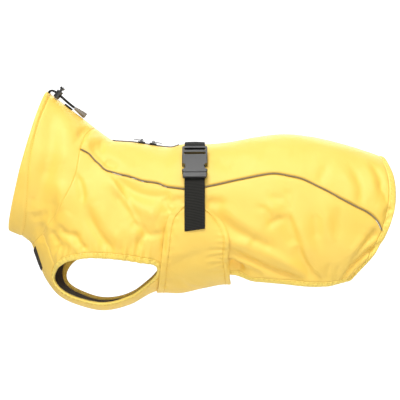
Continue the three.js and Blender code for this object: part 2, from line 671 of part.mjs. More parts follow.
function chestEdge(loop, s, extra) {
  if (s < CHEST_CORNER) {
    const [a, b, c] = chestSeamPlaces(loop, extra);
    const t = (s - CHEST_FRONT) / (CHEST_CORNER - CHEST_FRONT);
    const shift = degreesFor(b, SEAM_GAP / 2 + extra - SEAM_GAP);
    const place = t < 0.5 ? between(a, b, t * 2) : between(b, c, t * 2 - 1);
    return { u: place.u, angle: place.angle + shift };
  }
  const t = (s - CHEST_CORNER) / (CHEST_REAR - CHEST_CORNER);
  return armholeOuter(loop, THREE.MathUtils.lerp(ARMHOLE_FRONT, STRAP_REAR, t), extra);
}

function makeChestPanel(rowCount, columnCount, edgeGap, ends, options) {
  const loops = { near: armholeLoop(1), far: armholeLoop(-1) };
  const spread = (s, t) => {
    const edge = chestEdge(t > 0 ? loops.near : loops.far, s, edgeGap);
    const away = (180 - edge.angle) * Math.abs(t);
    const angle = t > 0 ? 180 - away : 180 + away;
    return { u: s + (edge.u - s) * t * t, angle };
  };
  const where = (s, t) => {
    const place = spread(s, t);
    const linear = spread(CHEST_FRONT, t);
    const gap = stationsFor({ u: 4, angle: 170 }, SEAM_GAP + ends);
    const left = 1 - THREE.MathUtils.smoothstep(s, CHEST_FRONT, CHEST_FRONT + 2);
    const seam = collarSeam(Math.min(linear.angle, 360 - linear.angle)) + gap;
    return { u: place.u + (seam - linear.u) * left, angle: place.angle };
  };
  return panel(steps(CHEST_FRONT, CHEST_REAR, rowCount), steps(-1, 1, columnCount), where, options);
}

function makeBellyPanel() {
  const frontEdge = route(BELLY_FRONT);
  const rearEdge = route(BELLY_REAR);
  const where = (s, t) => {
    const place = between(frontEdge(Math.abs(t)), rearEdge(Math.abs(t)), s);
    return { u: place.u, angle: t >= 0 ? place.angle : 360 - place.angle };
  };
  const outer = WALL + FLAP_LIFT;
  return panel(steps(0, 1, 9), steps(-1, 1, 36), where, { outer });
}

function makeLabel() {
  const where = (s, t) => ({ u: s, angle: 180 - degreesFor({ u: s, angle: 170 }, t * LABEL_HALF_WIDTH) });
  const outer = LABEL_WALL + SEAM_GAP;
  return panel(steps(4.75, 6.35, 3), steps(-1, 1, 6), where, { outer, wall: LABEL_WALL });
}

// Girth strap: places where the plane at x crosses the surface
function placeAtX(x, angle) {
  let low = 10;
  let high = 17;
  for (let round = 0; round < 40; round += 1) {
    const middle = (low + high) / 2;
    if (basePoint(middle, angle).x < x) low = middle;
    else high = middle;
  }
  return { u: low, angle };
}

const STRAP_LIFTS = [
  { angle: 35, lift: 3.0 }, { angle: 31, lift: 4.3 }, { angle: 27, lift: 5.6 }, { angle: 22, lift: 5.2 },
  { angle: 16, lift: 3.2 }, { angle: 9, lift: 1.5 }, { angle: 0, lift: 0.7 }, { angle: -30, lift: 0.7 },
  { angle: -52, lift: 1.5 }, { angle: -68, lift: 2.0 }, { angle: -78, lift: 3.6 }, { angle: -101, lift: 3.4 },
];
const LOWER_LIFTS = [
  { angle: 59, lift: 3.1 }, { angle: 63, lift: 4.4 }, { angle: 70, lift: 4.2 }, { angle: 78, lift: 3.7 },
  { angle: 99, lift: 3.4 },
];

function makeWebbing(rows, count) {
  const way = Math.sign(rows[rows.length - 1].angle - rows[0].angle);
  const knots = rows.map((row) => row.angle * way);
  const lifts = rows.map((row) => row.lift);
  const angles = steps(rows[0].angle, rows[rows.length - 1].angle, count);
  const lift = (angle) => smooth(knots, lifts, angle * way) + WEBBING_WALL;
  const where = (angle, x) => placeAtX(x, angle);
  const columns = [-WEBBING_HALF, 0, WEBBING_HALF];
  return panel(angles, columns, where, { outer: lift, wall: WEBBING_WALL, folded: false });
}

// Closed meshes as solids, for cutting and joining
function solidFrom(geometry) {
  const bare = geometry.clone();
  bare.deleteAttribute('normal');
  bare.deleteAttribute('uv');
  const merged = mergeVertices(bare, 1e-4);
  return new wasm.Manifold(new wasm.Mesh({
    numProp: 3,
    vertProperties: new Float32Array(merged.attributes.position.array),
    triVerts: new Uint32Array(merged.index.array),
  }));
}

function geometryFrom(solid) {
  const mesh = solid.getMesh();
  const geometry = new THREE.BufferGeometry();
  geometry.setAttribute('position', new THREE.Float32BufferAttribute(mesh.vertProperties, 3));
  geometry.setIndex(new THREE.Uint32BufferAttribute(mesh.triVerts, 1));
  geometry.computeVertexNormals();
  return geometry;
}

function boxAt(width, length, height, x, y, z) {
  return new THREE.BoxGeometry(width, length, height).translate(x, y, z);
}

function roundedRectangle(width, length, radius) {
  const shape = new THREE.Shape();
  const w = width / 2;
  const l = length / 2;
  shape.moveTo(-w + radius, -l);
  shape.lineTo(w - radius, -l);
  shape.absarc(w - radius, -l + radius, radius, -Math.PI / 2, 0);
  shape.lineTo(w, l - radius);
  shape.absarc(w - radius, l - radius, radius, 0, Math.PI / 2);
  shape.lineTo(-w + radius, l);
  shape.absarc(-w + radius, l - radius, radius, Math.PI / 2, Math.PI);
  shape.lineTo(-w, -l + radius);
  shape.absarc(-w + radius, -l + radius, radius, Math.PI, Math.PI * 1.5);
  return shape;
}

function bevelledPlate(shape, height, bevel) {
  const settings = {
    depth: height - 2 * bevel, bevelEnabled: true, bevelThickness: bevel, bevelSize: bevel,
    bevelOffset: -bevel, bevelSegments: 1, curveSegments: 3,
  };
  return new THREE.ExtrudeGeometry(shape, settings).translate(0, 0, bevel);
}

// A frame on the cloth: x across the strap or along the zip, z outward
function frameAt(place, lift, xAxisGuess) {
  const zAxis = outward(place.u, place.angle);
  const yAxis = zAxis.clone().cross(xAxisGuess).normalize();
  const xAxis = yAxis.clone().cross(zAxis).normalize();
  const frame = new THREE.Group();
  frame.setRotationFromMatrix(new THREE.Matrix4().makeBasis(xAxis, yAxis, zAxis));
  frame.position.copy(clothPoint(place, lift));
  return frame;
}

// Side-release buckle; in its frame y runs up over the back from the male end
const BUCKLE_TOTAL = FEMALE_LENGTH + MALE_BASE_LENGTH;
const FEMALE_MIDDLE = BUCKLE_TOTAL / 2 - FEMALE_LENGTH / 2;
const FEMALE_END = BUCKLE_TOTAL / 2 - FEMALE_LENGTH;
const CAVITY_WIDTH = 25.6;
const CAVITY_LENGTH = 24;
const CAVITY_HEIGHT = 4.4;
const WINDOW_RADIUS = 4.6;
const WINDOW_FROM_END = 9;
const LADDER_SLOT = 3.4;
const LADDER_LENGTH = 15;
const WEBBING_ROOM = 3.3;

function makeFemale() {
  const outline = roundedRectangle(BUCKLE_WIDTH, FEMALE_LENGTH, 2.5);
  let body = solidFrom(bevelledPlate(outline, BUCKLE_THICK, 1).translate(0, FEMALE_MIDDLE, 0));
  const middleZ = BUCKLE_THICK / 2;
  const ladderMiddle = FEMALE_END + FEMALE_LENGTH - LADDER_LENGTH / 2;
  const cuts = [
    boxAt(CAVITY_WIDTH, CAVITY_LENGTH + 2, CAVITY_HEIGHT, 0, FEMALE_END + CAVITY_LENGTH / 2 - 1, middleZ),
    boxAt(BUCKLE_WIDTH - 5, LADDER_SLOT, BUCKLE_THICK + 2, 0, FEMALE_END + FEMALE_LENGTH - 4.4, middleZ),
    boxAt(BUCKLE_WIDTH - 5, LADDER_SLOT, BUCKLE_THICK + 2, 0, FEMALE_END + FEMALE_LENGTH - 11, middleZ),
    boxAt(BUCKLE_WIDTH + 2, LADDER_LENGTH, 3, 0, ladderMiddle, BUCKLE_THICK + 0.2),
    boxAt(BUCKLE_WIDTH + 2, LADDER_LENGTH, 2 * WEBBING_ROOM, 0, ladderMiddle, 0),
  ];
  for (const side of [-1, 1]) {
    const window = new THREE.CylinderGeometry(WINDOW_RADIUS, WINDOW_RADIUS, BUCKLE_THICK + 2, 14);
    window.rotateX(Math.PI / 2).translate((side * BUCKLE_WIDTH) / 2, FEMALE_END + WINDOW_FROM_END, middleZ);
    cuts.push(window);
  }
  for (const cut of cuts) body = body.subtract(solidFrom(cut));
  return geometryFrom(body);
}

function makeMale() {
  const middleZ = BUCKLE_THICK / 2;
  const thick = CAVITY_HEIGHT - 1;
  const baseMiddle = FEMALE_END - SEAM_GAP - MALE_BASE_LENGTH / 2;
  const outline = roundedRectangle(BUCKLE_WIDTH - 2, MALE_BASE_LENGTH, 1.8);
  const base = bevelledPlate(outline, BUCKLE_THICK - WEBBING_ROOM, 0.7);
  let body = solidFrom(base.translate(0, baseMiddle, WEBBING_ROOM));
  const prong = new THREE.Shape();
  const root = FEMALE_END - SEAM_GAP - 2;
  const tip = FEMALE_END + WINDOW_FROM_END + WINDOW_RADIUS + 3;
  const outer = CAVITY_WIDTH / 2 - 0.5;
  const prongOutline = [
    [outer - 4.5, root], [outer - 1.2, root], [outer, FEMALE_END + WINDOW_FROM_END - 3.6],
    [outer, tip - 5], [outer - 3, tip], [outer - 5.5, tip],
  ];
  prong.setFromPoints(prongOutline.map(([x, y]) => new THREE.Vector2(x, y)));
  const settings = { depth: thick, bevelEnabled: false };
  const right = new THREE.ExtrudeGeometry(prong, settings).translate(0, 0, middleZ - thick / 2);
  const guide = boxAt(4, tip - root - 2, thick, 0, (root + tip) / 2 - 1, middleZ);
  body = body.add(solidFrom(right));
  body = body.add(solidFrom(mirrorAcross(right)));
  body = body.add(solidFrom(guide));
  body = body.subtract(solidFrom(boxAt(BUCKLE_WIDTH - 7, 2.2, 3, 0, baseMiddle - 0.6, WEBBING_ROOM)));
  return geometryFrom(body);
}

function mirrorAcross(geometry) {
  const flipped = geometry.clone();
  flipped.applyMatrix4(new THREE.Matrix4().makeScale(-1, 1, 1));
  const positions = flipped.attributes.position.array.slice();
  for (let k = 0; k < positions.length; k += 9) {
    for (let axis = 0; axis < 3; axis += 1) {
      [positions[k + axis], positions[k + 6 + axis]] = [positions[k + 6 + axis], positions[k + axis]];
    }
  }
  flipped.setAttribute('position', new THREE.Float32BufferAttribute(positions, 3));
  return flipped;
}

// Zip slider: a tapered plate with a bail, in a frame with x along the zip towards the pull
function makeSlider() {
  const plate = new THREE.Shape();
  const l = SLIDER_LENGTH / 2;
  const w = SLIDER_WIDTH / 2;
  plate.moveTo(-l, -w * 0.62);
  plate.lineTo(-l * 0.2, -w);
  plate.lineTo(l, -w);
  plate.lineTo(l, w);
  plate.lineTo(-l * 0.2, w);
  plate.lineTo(-l, w * 0.62);
  const body = solidFrom(bevelledPlate(plate, SLIDER_THICK, 0.35));
  const pivotZ = SLIDER_THICK + PIVOT_ABOVE_SLIDER;
  const bail = new THREE.Shape();
  bail.moveTo(-1.9, SLIDER_THICK - 0.5 - pivotZ);
  bail.lineTo(1.9, SLIDER_THICK - 0.5 - pivotZ);
  bail.absarc(0, 0, 1.9, 0, Math.PI);
  const hole = new THREE.Path();
  hole.absarc(0, 0, 0.95, 0, Math.PI * 2, true);
  bail.holes.push(hole);
  const settings = { depth: 1.8, bevelEnabled: false, curveSegments: 6 };
  const arch = new THREE.ExtrudeGeometry(bail, settings).translate(0, 0, -0.9);
  arch.rotateX(Math.PI / 2).translate(0, 0, pivotZ);
  return geometryFrom(body.add(solidFrom(arch)));
}

// Pull tab about its own pivot, lying along +x
function makePull() {
  const tab = new THREE.Shape();
  const w = PULL_WIDTH / 2;
  const back = PULL_THICK / 2;
  tab.moveTo(-back, -w);
  tab.lineTo(PULL_LENGTH - 1.2, -w * 0.8);
  tab.quadraticCurveTo(PULL_LENGTH, -w * 0.8, PULL_LENGTH, 0);
  tab.quadraticCurveTo(PULL_LENGTH, w * 0.8, PULL_LENGTH - 1.2, w * 0.8);
  tab.lineTo(-back, w);
  const hole = new THREE.Path();
  hole.moveTo(back, -1.35);
  hole.lineTo(back, 1.35);
  hole.lineTo(3.4, 1.35);
  hole.lineTo(3.4, -1.35);
  tab.holes.push(hole);
  const settings = { depth: PULL_THICK, bevelEnabled: false, curveSegments: 3 };
  return new THREE.ExtrudeGeometry(tab, settings).translate(0, 0, -PULL_THICK / 2);
}

function addZip() {
  const rows = steps(ZIP_FROM + 0.02, ZIP_TO - 0.02, 14);
  const at = (s, across) => ({ u: s, angle: zipAngle(s, across) });
  const tapeHalf = ZIP_SLOT_HALF - SEAM_GAP;
  const tape = panel(rows, [-tapeHalf, tapeHalf], at, { outer: -0.3, wall: 1.1 });
  addPiece('zip_tape', tape, 'zip');
  const coil = panel(rows, [-COIL_HALF, COIL_HALF], at, { outer: 0.8, wall: 0.8 });
  addPiece('zip_coil', coil, 'zip');
  const sliders = [
    { name: 'front', x: SLIDER_FRONT_X, way: -1 },
    { name: 'rear', x: SLIDER_REAR_X, way: 1 },
  ];
  for (const row of sliders) {
    const u = stationAtTop(row.x);
    const place = { u, angle: zipAngle(u, 0) };
    const along = new THREE.Vector3(row.way, 0, 0);
    const frame = frameAt(place, SLIDER_LIFT, along);
    coat.add(frame);
    addPiece(`zip_slider_${row.name}`, makeSlider(), 'plastic', frame);
    const pull = addPiece(`zip_pull_${row.name}`, makePull(), 'plastic', frame);
    pull.position.z = SLIDER_THICK + PIVOT_ABOVE_SLIDER;
  }
}

// Drawstring
function toVector(row) {
  return new THREE.Vector3(row.x, row.y, row.z);
}

function cordGeometry(shift) {
  const points = CORD_ROUTE.map((row) => toVector(row).add(shift));
  const curve = new THREE.CatmullRomCurve3(points, false, 'centripetal');
  const section = new THREE.Shape();
  section.absarc(0, 0, CORD_DIAMETER / 2, 0, Math.PI * 2);
  const settings = { steps: 16, extrudePath: curve, bevelEnabled: false, curveSegments: 4 };
  return new THREE.ExtrudeGeometry(section, settings);
}

const lockCentre = toVector(CORD_ROUTE[LOCK_AT]);
const lockWay = toVector(CORD_ROUTE[LOCK_AT + 1]).sub(toVector(CORD_ROUTE[LOCK_AT - 1])).normalize();

function lockFrame() {
  const up = new THREE.Vector3(0.52, -0.22, 0.82);
  const zAxis = up.addScaledVector(lockWay, -up.dot(lockWay)).normalize();
  const yAxis = zAxis.clone().cross(lockWay).normalize();
  const frame = new THREE.Group();
  frame.setRotationFromMatrix(new THREE.Matrix4().makeBasis(lockWay, yAxis, zAxis));
  frame.position.copy(lockCentre);
  return frame;
}

function lathe(profile) {
  const points = profile.map(([radius, z]) => new THREE.Vector2(radius, z));
  return new THREE.LatheGeometry(points, 16).rotateX(Math.PI / 2);
}

function makeBarrel() {
  const r = LOCK_DIAMETER / 2;
  const l = LOCK_LENGTH / 2;
  const bore = LOCK_BORE / 2;
  const profile = [
    [0, -l], [r - 0.8, -l], [r, -l + 0.8], [r, l - 0.5], [r - 0.5, l],
    [bore, l], [bore, l - LOCK_BORE_DEPTH], [0, l - LOCK_BORE_DEPTH],
  ];
  const slotWidth = CORD_DIAMETER + 2 * STRAND_APART + 0.8;
  const slotHeight = CORD_DIAMETER + 0.9;
  const slot = boxAt(LOCK_DIAMETER + 4, slotWidth, slotHeight, 0, 0, 0);
  return geometryFrom(solidFrom(lathe(profile)).subtract(solidFrom(slot)));
}

function makePlunger() {
  const under = LOCK_LENGTH / 2 + PLUNGER_RAISED;
  const stem = PLUNGER_STEM / 2;
  const knob = PLUNGER_KNOB / 2;
  const top = under + PLUNGER_KNOB_LENGTH;
  const stemEnd = LOCK_LENGTH / 2 - LOCK_BORE_DEPTH + PLUNGER_RAISED + 0.3;
  return lathe([
    [0, stemEnd], [stem, stemEnd], [stem, under], [knob, under], [knob, top - 0.6],
    [knob - 0.8, top], [1.5, top], [1.1, top - 0.8], [0, top - 0.8],
  ]);
}

// Cord end: a wedge that widens away from the cord
function makeCordEnd() {
  const sections = [
    { x: 0.9, width: 6.2, height: 3.4 }, { x: 3, width: 6.8, height: 4.2 },
    { x: 12, width: 8.4, height: 6.4 }, { x: 16.5, width: 8.8, height: 7.0 },
    { x: 17.6, width: 7.6, height: 5.8 },
  ];
  const sides = 16;
  const points = [];
  const faces = [];
  for (const row of sections) {
    for (let k = 0; k < sides; k += 1) {
      const turn = ((k + 0.5) / sides) * Math.PI * 2;
      const c = Math.cos(turn);
      const s = Math.sin(turn);
      points.push(new THREE.Vector3(
        row.x,
        (row.width / 2) * Math.sign(c) * Math.abs(c) ** 0.5,
        (row.height / 2) * Math.sign(s) * Math.abs(s) ** 0.5,
      ));
    }
  }
  for (let i = 0; i < sections.length - 1; i += 1) {
    for (let k = 0; k < sides; k += 1) {
      const a = i * sides + k;
      const b = i * sides + ((k + 1) % sides);
      faces.push(a, b, b + sides, a, b + sides, a + sides);
    }
  }
  const lastStart = (sections.length - 1) * sides;
  for (let k = 1; k < sides - 1; k += 1) {
    faces.push(0, k + 1, k);
    faces.push(lastStart, lastStart + k, lastStart + k + 1);
  }
  return facingOut(points, faces);
}

function addDrawstring() {
  const across = lockFrame();
  const yAxis = new THREE.Vector3(0, 1, 0).applyQuaternion(across.quaternion);
  addPiece('drawstring_left', cordGeometry(yAxis.clone().multiplyScalar(-STRAND_APART)), 'webbing');
  addPiece('drawstring_right', cordGeometry(yAxis.clone().multiplyScalar(STRAND_APART)), 'webbing');
  coat.add(across);
  addPiece('cord_lock_barrel', makeBarrel(), 'plastic', across);
  addPiece('cord_lock_plunger', makePlunger(), 'plastic', across);
  const end = CORD_ROUTE.length - 1;
  const way = toVector(CORD_ROUTE[end]).sub(toVector(CORD_ROUTE[end - 1])).normalize();
  const frame = new THREE.Group();
  const zAxis = new THREE.Vector3(0, 0, 1).addScaledVector(way, -way.z).normalize();
  const side = zAxis.clone().cross(way).normalize();
  frame.setRotationFromMatrix(new THREE.Matrix4().makeBasis(way, side, zAxis));
  frame.position.copy(toVector(CORD_ROUTE[end]));
  coat.add(frame);
  addPiece('cord_end', makeCordEnd(), 'cordEnd', frame);
}

function makeKeeper() {
  const from = stationAtTop(-166);
  const to = stationAtTop(-157);
  const where = (s, t) => ({ u: s, angle: degreesFor({ u: s, angle: 1 }, 4 + t * 3) });
  return panel(steps(from, to, 3), [-1, 1], where, { outer: 1.7, wall: 1.3, folded: false });
}

function addStrap() {
  addPiece('webbing_over_back', makeWebbing(STRAP_LIFTS, 28), 'webbing');
  addPiece('webbing_on_flap', makeWebbing(LOWER_LIFTS, 10), 'webbing');
  const frame = frameAt(placeAtX(0, BUCKLE_ANGLE), BUCKLE_LIFT, new THREE.Vector3(1, 0, 0));
  coat.add(frame);
  addPiece('buckle_female', makeFemale(), 'plastic', frame);
  addPiece('buckle_male', makeMale(), 'plastic', frame);
}

addPiece('collar', makeCollar(), 'cloth');
addPiece('back_panel', makeBackPanel(), 'cloth');
addPiece('side_panel_left', makeSidePanel(1), 'cloth');
addPiece('side_panel_right', makeSidePanel(-1), 'cloth');
addPiece('chest_panel', makeChestPanel(26, 10, SEAM_GAP, 0, {}), 'cloth');
const liningDepth = -WALL - 0.8;
addPiece('chest_lining', makeChestPanel(18, 8, 4, 5, { outer: liningDepth, wall: LINING_WALL }), 'lining');
addPiece('belly_panel', makeBellyPanel(), 'cloth');
addPiece('piping_left', makePiping(1), 'piping');
addPiece('piping_right', makePiping(-1), 'piping');
addPiece('armhole_binding_left', makeBinding(1), 'hem');
addPiece('armhole_binding_right', makeBinding(-1), 'hem');
addPiece('hem_band', makeHemBand(), 'hem');
addPiece('label', makeLabel(), 'webbing');
addPiece('nape_keeper', makeKeeper(), 'webbing');
addZip();
addStrap();
addDrawstring();

export default coat;
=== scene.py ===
import math
import random

import bpy
import numpy as np
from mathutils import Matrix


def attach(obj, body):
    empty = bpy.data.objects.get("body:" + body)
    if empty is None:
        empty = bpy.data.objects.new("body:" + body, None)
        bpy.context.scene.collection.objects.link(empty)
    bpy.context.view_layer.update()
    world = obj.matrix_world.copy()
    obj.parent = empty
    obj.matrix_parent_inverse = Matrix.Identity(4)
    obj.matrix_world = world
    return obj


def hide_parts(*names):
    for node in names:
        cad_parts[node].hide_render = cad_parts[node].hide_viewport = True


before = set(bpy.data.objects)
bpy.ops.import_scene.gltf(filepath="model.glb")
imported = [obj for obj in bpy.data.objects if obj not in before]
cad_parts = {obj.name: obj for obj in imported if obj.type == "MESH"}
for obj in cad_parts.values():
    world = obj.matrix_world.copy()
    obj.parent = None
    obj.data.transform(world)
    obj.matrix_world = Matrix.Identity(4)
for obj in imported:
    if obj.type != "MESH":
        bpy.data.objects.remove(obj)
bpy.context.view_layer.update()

MM = 0.001
random.seed(4)

# Camera at the photograph's angle: level, square to the dog's left side
CAMERA_PLACE = (0.0064, -1.4, -0.0704)
CAMERA_LENS = 98.5

camera_data = bpy.data.cameras.new("camera")
camera_data.sensor_width = 36
camera_data.lens = CAMERA_LENS
camera = bpy.data.objects.new("camera", camera_data)
camera.location = CAMERA_PLACE
camera.rotation_euler = (math.pi / 2, 0, 0)
bpy.context.collection.objects.link(camera)
bpy.context.scene.camera = camera

# Sizes in millimetres, as in the CAD
WALL = 1.8
SEAM_GAP = 0
BINDING_WIDTH = 7
BINDING_STRAP_WIDTH = 3.4
BINDING_STITCH = 0.84
HEM_WIDTH = 7
REAR_GAP = 1.2
FLAP_LIFT = 0.95
PIPING_HALF = 0.95
LABEL_HALF_WIDTH = 19
WEBBING_WALL = 1.5
ZIP_FROM_X = -105
ZIP_TO_X = -20
ZIP_SLOT_HALF = 3.6
ZIP_OFF_CENTRE = 5
CORD_DIAMETER = 2.4
STRAND_APART = 1.5
LOCK_AT = 4

# Cross-sections of the filled coat, neck to tail: name, topX, topZ, lowX, lowZ, bow, half, square, narrow
STATIONS = [
    ("neck opening", -189, 68, -237, -109, 0, 50, 2.0, 0.05),
    ("casing", -180, 62, -230, -112, 0, 51, 2.0, 0.08),
    ("collar", -154, 42, -223, -115, 0, 54, 2.0, 0.14),
    ("nape", -128, 22, -214, -121, 0, 57, 2.0, 0.22),
    ("throat", -116, 13, -209, -126, 0, 59, 2.0, 0.26),
    ("shoulder 1", -105, 6, -204, -138, 0, 61, 2.0, 0.28),
    ("shoulder 2", -92, 4.5, -198, -154, 0, 63, 2.05, 0.24),
    ("brisket 1", -79, 3.8, -189, -173, 0, 65, 2.2, 0.12),
    ("brisket 2", -67, 2, -172, -193, 0, 67, 2.35, 0.04),
    ("foreleg 1", -54, 0, -146, -205, 0, 68, 2.4, 0),
    ("foreleg 2", -41, -1.9, -115, -211, 0, 69, 2.4, 0),
    ("foreleg 3", -29, -2.6, -82, -203.5, 0, 69, 2.4, 0),
    ("belly 1", -17, 0.7, -50, -187, 0, 69, 2.3, 0),
    ("strap", 0, 1.8, -18, -186.5, 0, 69, 2.2, 0),
    ("belly 2", 18, 1.2, 12, -180, 0, 69, 2.2, 0),
    ("belly 3", 45, 3.8, 45, -176, 0, 70, 2.2, 0),
    ("loin 1", 78, 10, 77, -191, 0, 71, 2.2, 0),
    ("loin 2", 115, 14, 108, -203, 0, 72, 2.2, 0),
    ("hip 1", 152, 10, 130, -207, 4, 72, 2.2, 0),
    ("hip 2", 188, 1.5, 150, -207, 14, 70, 2.2, 0),
    ("rump", 219, -8, 158, -204, 26, 66, 2.1, 0),
    ("tail hem", 241, -16, 158, -202, 37, 61, 2.1, 0),
]
LAST = len(STATIONS) - 1

# Seam and edge lines in the side view (x, z)
PIPING_LINE = [
    (-141, -8), (-130, -14), (-120, -24), (-110, -33), (-98, -37), (-82, -41), (-67, -46), (-45, -50),
    (-29, -55), (-10, -57), (14, -54), (38, -49), (61, -44), (81, -40), (97, -38), (116, -41),
    (132, -45), (147, -52), (163, -60), (179, -69), (194, -77), (210, -85), (222, -95), (231, -115),
]
COLLAR_SEAM = [(-142, -7), (-146, -36), (-160, -70), (-183, -103)]
HEM_LINE = [
    (36, -165), (66, -170), (88, -173), (110, -175), (132, -177), (155, -178), (173, -176), (188, -172),
]
CHEST_SEAM = [(-192, -116), (-181, -130)]
# Edge of each armhole: x on the left side, z, x on the right side
ARMHOLE_EDGE = [
    (-163, -150, -157), (-152, -145, -147), (-134, -142, -132), (-116, -142, -116), (-98, -143, -98),
    (-80, -145, -80), (-62, -148, -62), (-48, -152, -48), (-47, -161, -47), (-55, -172, -55),
    (-66, -182, -66), (-80, -191, -80), (-98, -198, -98), (-116, -200, -116), (-134, -197, -134),
    (-150, -192, -148), (-165, -185, -161), (-175, -176, -169), (-177, -167, -170), (-172, -157, -165),
]
# Edges of the belly panel: share of the way from the middle to the flap's top, x, z
BELLY_FRONT = [
    (0.22, -46, -177), (0.35, -44, -164), (0.45, -42, -150), (0.55, -40, -136), (0.65, -38, -120),
    (0.74, -36, -105), (0.83, -32, -91), (0.89, -27, -84), (0.95, -20, -77), (1, -12, -74),
]
BELLY_REAR = [
    (0.17, 45, -172), (0.25, 44, -167), (0.35, 43, -157), (0.49, 41, -140), (0.6, 42, -125),
    (0.69, 41, -112), (0.76, 37, -102), (0.85, 30, -93), (0.94, 20, -84), (1, 12, -79),
]
FLAP_HEM_FRONT = 8.5
FLAP_HEM_REAR = 6.5
FLAP_REACH = 190
BELLY_FRONT_STATION = 12.03
BELLY_REAR_STATION = 15.03

# Free drawstring: the middle line between its two strands
CORD_ROUTE = [
    (-185.8, -7.2, 66.1), (-184.4, -7.7, 68.0), (-181.6, -8.6, 68.7), (-177.6, -9.8, 67.1),
    (-173.4, -10.6, 63.9), (-169.2, -10.6, 60.4), (-164.8, -9.6, 56.4), (-160.6, -8.2, 52.8),
    (-157.0, -7.0, 49.8), (-153.6, -6.0, 47.2),
]

